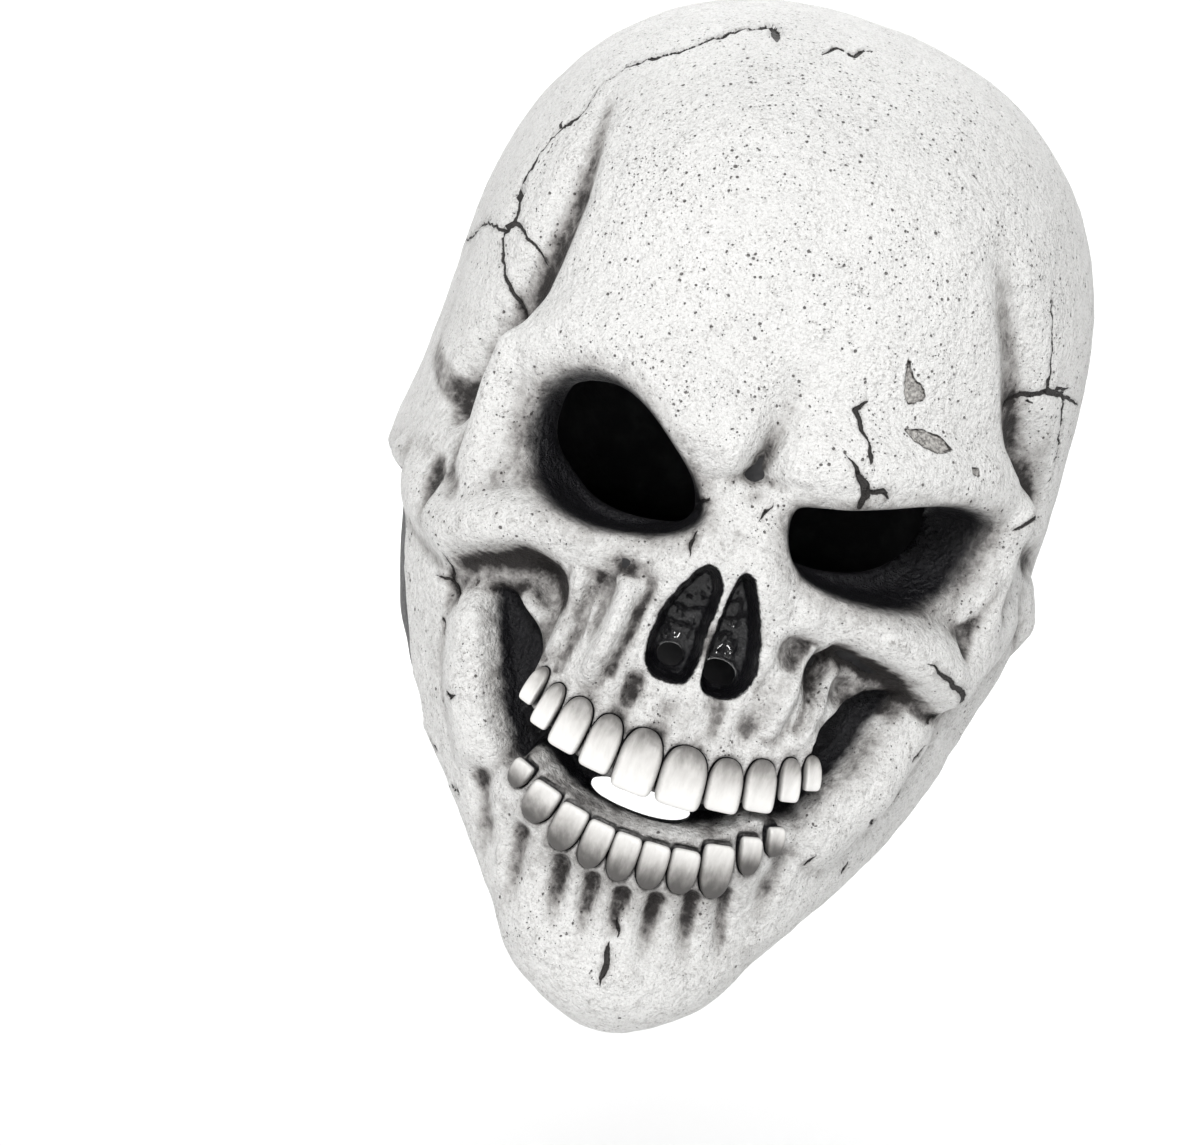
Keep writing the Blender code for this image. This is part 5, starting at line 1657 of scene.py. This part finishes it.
    rough = graph.blend(black, graph.span(soft_noise, 0.46, 0.66), graph.span(brush, 0.34, 0.56))
    rises = ((brush, 0.30), (grain, 0.80), (soft_noise, 1.3), (fine_noise, 0.40))
    height = graph.sum(*(times(value, rise) for value, rise in rises))
    for mask, depth in ((holes, 0.80), (cracks, 1.2), (chip_in, 0.5)):
        height = graph.math("SUBTRACT", height, times(mask, depth))
    inputs = {
        "Base Color": colour,
        "Roughness": graph.blend(nose, rough, 0.30),
        "Coat Weight": times(nose, 0.7),
        "Coat Roughness": 0.08,
        "Specular IOR Level": 0.30,
        "Normal": graph.bump(height, 1.0, 0.0015),
    }
    graph.feed_all(shader, inputs)
    return material


def lining_material(colours, groups):
    material, graph, shader, where = new_paint("black_latex_lining")
    soft = graph.noise(where, 140.0, 4.0, 0.6)
    brush = place_group(graph, groups["brush"], {"Vector": where, "Scale": 260.0})
    inputs = {
        "Base Color": graph.mix(graph.step(soft, 0.4, 0.8), colours.black, WORN_LINING),
        "Roughness": graph.span(brush, 0.45, 0.70),
        "Normal": graph.bump(soft, 0.5, 0.0006),
    }
    graph.feed_all(shader, inputs)
    return material


def tooth_material(colours, groups):
    material, graph, shader, where = new_paint("tooth_paint")
    times = graph.times
    brush = place_group(graph, groups["brush"], {"Vector": where, "Scale": 620.0})
    fine_noise = graph.noise(where, 1100.0, 3.0, 0.6)
    soft_noise = graph.noise(where, 190.0, 3.0, 0.6)
    uneven = [graph.span(brush, -0.45, 0.35), graph.span(soft_noise, -0.2, 0.2)]
    gum = graph.sum(graph.attribute("gumward"), graph.attribute("lower_row_darkening"), *uneven)
    side = graph.ragged("sideward", fine_noise, -0.06, 0.06)
    back = graph.ragged("frontward", fine_noise, -0.12, 0.12)
    colour = graph.mix(times(graph.step(gum, -0.90, 0.78), 0.80), colours.tooth, GREY_TONE)
    colour = graph.mix(times(graph.step(gum, 0.00, 1.20), 0.88), colour, GUM_TONE)
    colour = graph.mix(times(graph.step(side, 0.72, 1.0), 0.55), colour, TOOTH_SIDE_TONE)
    height = graph.sum(times(brush, 0.4), times(fine_noise, 0.15))
    inputs = {
        "Base Color": graph.mix(graph.step(back, 0.20, -0.25), colour, colours.black),
        "Roughness": graph.span(soft_noise, 0.34, 0.56),
        "Normal": graph.bump(height, 0.45, 0.0004),
    }
    graph.feed_all(shader, inputs)
    return material


def floor_material(colours):
    material = bpy.data.materials.new("plain_floor")
    material.use_nodes = True
    shader = material.node_tree.nodes["Principled BSDF"]
    shader.inputs["Base Color"].default_value = (*colours.floor, 1.0)
    shader.inputs["Roughness"].default_value = 0.9
    return material


def shader_groups():
    """The shared effects, made once."""
    if "pinholes" not in bpy.data.node_groups:
        pores_group()
    if "brush_marks" not in bpy.data.node_groups:
        brush_group()
    return {"pores": bpy.data.node_groups["pinholes"], "brush": bpy.data.node_groups["brush_marks"]}


class MASK_OT_add_skin(bpy.types.Operator):
    """Make the skin: bone, sockets, nose, cheek recess, cracks, lining and neck"""

    bl_idname = "mask.add_skin"
    bl_label = "Add Skin"

    def execute(self, context):
        form = HeadForm(context.scene.mask_sizes)
        skin = add_skin(form)
        groups = shader_groups()
        skin.data.materials.append(bone_material(context.scene.mask_colours, groups))
        skin.data.materials.append(lining_material(context.scene.mask_colours, groups))
        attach(skin, "root")
        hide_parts("skull_shell")
        return {"FINISHED"}


class MASK_OT_add_teeth(bpy.types.Operator):
    """Make both rows of teeth from one subdivided block"""

    bl_idname = "mask.add_teeth"
    bl_label = "Add Teeth"

    def execute(self, context):
        form = HeadForm(context.scene.mask_sizes)
        bpy.ops.object.select_all(action="DESELECT")
        bpy.ops.mesh.primitive_cube_add(size=2.0)
        cast = context.object
        bpy.ops.object.mode_set(mode="EDIT")
        bpy.ops.mesh.select_all(action="SELECT")
        bpy.ops.mesh.subdivide(number_cuts=TOOTH_CUTS)
        bpy.ops.object.mode_set(mode="OBJECT")
        material = tooth_material(context.scene.mask_colours, shader_groups())
        for tooth in teeth_of(form):
            piece = add_tooth(form, tooth, cast)
            piece.data.materials.append(material)
            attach(piece, "root")
            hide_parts(tooth["name"])
        bpy.data.objects.remove(cast, do_unlink=True)
        return {"FINISHED"}


# The camera stands a little to the mask's right and above it, and is rolled.
CAMERA_TURN = math.radians(-4.5)
CAMERA_RISE = math.radians(7.0)
CAMERA_ROLL = math.radians(18.5)
CAMERA_DISTANCE = 1.2618
CAMERA_LENS = 151.2
CAMERA_SENSOR = 36.0
CAMERA_NEAR_END = 0.05
AIM_ACROSS = 0.0217
AIM_UP = 0.1495

FLOOR_HEIGHT = -0.42
STUDIO_RADIUS = 3.2
STUDIO_HEIGHT = 3.0
COVE_RADIUS = 0.9
COVE_STEPS = 12
FLOOR_SIDES = 96
WORLD_STRENGTH = 0.36

LIGHTS = {
    # place, aim, size, power, colour
    "key": ((-0.50, -1.90, 0.95), (0.0, 0.0, -0.12), 0.50, 30.0, (1.0, 0.997, 0.99)),
    "top": ((0.1, -0.5, 1.9), (0.0, 0.0, -0.12), 0.8, 5.0, (1.0, 1.0, 1.0)),
    "back": ((-0.6, 1.9, 1.0), (0.0, 0.0, -0.12), 1.4, 10.0, (1.0, 1.0, 1.0)),
    "floor": ((0.2, 2.0, 1.7), (0.2, 2.4, -0.42), 1.2, 30.0, (1.0, 1.0, 1.0)),
}


class MASK_OT_add_stage(bpy.types.Operator):
    """Make the pale floor, the soft lights and the camera"""

    bl_idname = "mask.add_stage"
    bl_label = "Add Stage"

    def execute(self, context):
        self.add_floor(context)
        self.add_lights(context)
        self.add_camera(context)
        world = bpy.data.worlds.new("studio")
        world.use_nodes = True
        background = world.node_tree.nodes["Background"]
        background.inputs["Color"].default_value = (1.0, 1.0, 1.0, 1.0)
        background.inputs["Strength"].default_value = WORLD_STRENGTH
        context.scene.world = world
        context.scene.view_settings.view_transform = "Standard"
        return {"FINISHED"}

    def add_floor(self, context):
        """A round floor that curves up into a wall all round."""
        mesh = bpy.data.meshes.new("studio_floor")
        floor = bpy.data.objects.new("studio_floor", mesh)
        context.scene.collection.objects.link(floor)
        soup = bmesh.new()
        flat_radius = STUDIO_RADIUS - COVE_RADIUS
        profile = [(0.0, FLOOR_HEIGHT), (flat_radius, FLOOR_HEIGHT)]
        for k in range(1, COVE_STEPS + 1):
            bend = k * math.pi / (2 * COVE_STEPS)
            rise = COVE_RADIUS * (1 - math.cos(bend))
            profile.append((flat_radius + COVE_RADIUS * math.sin(bend), FLOOR_HEIGHT + rise))
        profile.append((STUDIO_RADIUS, STUDIO_HEIGHT))
        verts = [soup.verts.new((radius, 0.0, z)) for radius, z in profile]
        edges = [soup.edges.new(pair) for pair in zip(verts[:-1], verts[1:])]
        bmesh.ops.spin(
            soup,
            geom=verts + edges,
            cent=(0.0, 0.0, 0.0),
            axis=(0.0, 0.0, 1.0),
            angle=2 * math.pi,
            steps=FLOOR_SIDES,
            use_merge=True,
        )
        bmesh.ops.remove_doubles(soup, verts=soup.verts, dist=1e-5)
        bmesh.ops.recalc_face_normals(soup, faces=soup.faces)
        bmesh.ops.reverse_faces(soup, faces=soup.faces)
        soup.to_mesh(mesh)
        soup.free()
        mesh.shade_smooth()
        mesh.materials.append(floor_material(context.scene.mask_colours))

    def add_lights(self, context):
        for name, (place, aim, size, power, colour) in LIGHTS.items():
            light = bpy.data.lights.new(name + "_light", "AREA")
            light.shape = "DISK"
            light.size = size
            light.energy = power
            light.color = colour
            lamp = bpy.data.objects.new(name + "_light", light)
            lamp.location = place
            towards = Vector(aim) - Vector(place)
            lamp.rotation_euler = towards.to_track_quat("-Z", "Y").to_euler()
            context.scene.collection.objects.link(lamp)

    def add_camera(self, context):
        camera = bpy.data.cameras.new("camera")
        camera.lens = CAMERA_LENS
        camera.sensor_width = CAMERA_SENSOR
        camera.clip_start = CAMERA_NEAR_END
        eye = bpy.data.objects.new("camera", camera)
        right = Vector((math.cos(CAMERA_TURN), math.sin(CAMERA_TURN), 0.0))
        flat = math.cos(CAMERA_RISE)
        back = Vector((math.sin(CAMERA_TURN) * flat, -math.cos(CAMERA_TURN) * flat, math.sin(CAMERA_RISE)))
        up = back.cross(right)
        place = back * CAMERA_DISTANCE - right * AIM_ACROSS - up * AIM_UP
        rolled_right = right * math.cos(CAMERA_ROLL) + up * math.sin(CAMERA_ROLL)
        rolled_up = up * math.cos(CAMERA_ROLL) - right * math.sin(CAMERA_ROLL)
        rows = [(*row, at) for row, at in zip(zip(rolled_right, rolled_up, back), place)]
        eye.matrix_world = Matrix(rows + [(0.0, 0.0, 0.0, 1.0)])
        context.scene.collection.objects.link(eye)
        context.scene.camera = eye


class MASK_PT_panel(bpy.types.Panel):
    """The mask's pieces in the sidebar"""

    bl_label = "Skull Mask"
    bl_idname = "MASK_PT_panel"
    bl_space_type = "VIEW_3D"
    bl_region_type = "UI"
    bl_category = "Skull Mask"

    def draw(self, context):
        layout = self.layout
        for operator in OPERATORS:
            layout.operator(operator.bl_idname)
        for group in (context.scene.mask_sizes, context.scene.mask_colours):
            for name in group.bl_rna.properties.keys():
                if name not in ("rna_type", "name"):
                    layout.prop(group, name)


OPERATORS = (MASK_OT_add_stage, MASK_OT_add_skin, MASK_OT_add_teeth)
CLASSES = (MaskSizes, MaskColours, *OPERATORS, MASK_PT_panel)


def register():
    for cls in CLASSES:
        bpy.utils.register_class(cls)
    bpy.types.Scene.mask_sizes = bpy.props.PointerProperty(type=MaskSizes)
    bpy.types.Scene.mask_colours = bpy.props.PointerProperty(type=MaskColours)


def unregister():
    del bpy.types.Scene.mask_colours
    del bpy.types.Scene.mask_sizes
    for cls in reversed(CLASSES):
        bpy.utils.unregister_class(cls)


def main():
    register()
    bpy.ops.mask.add_stage()
    bpy.ops.mask.add_skin()
    bpy.ops.mask.add_teeth()


if __name__ == "__main__":
    main()
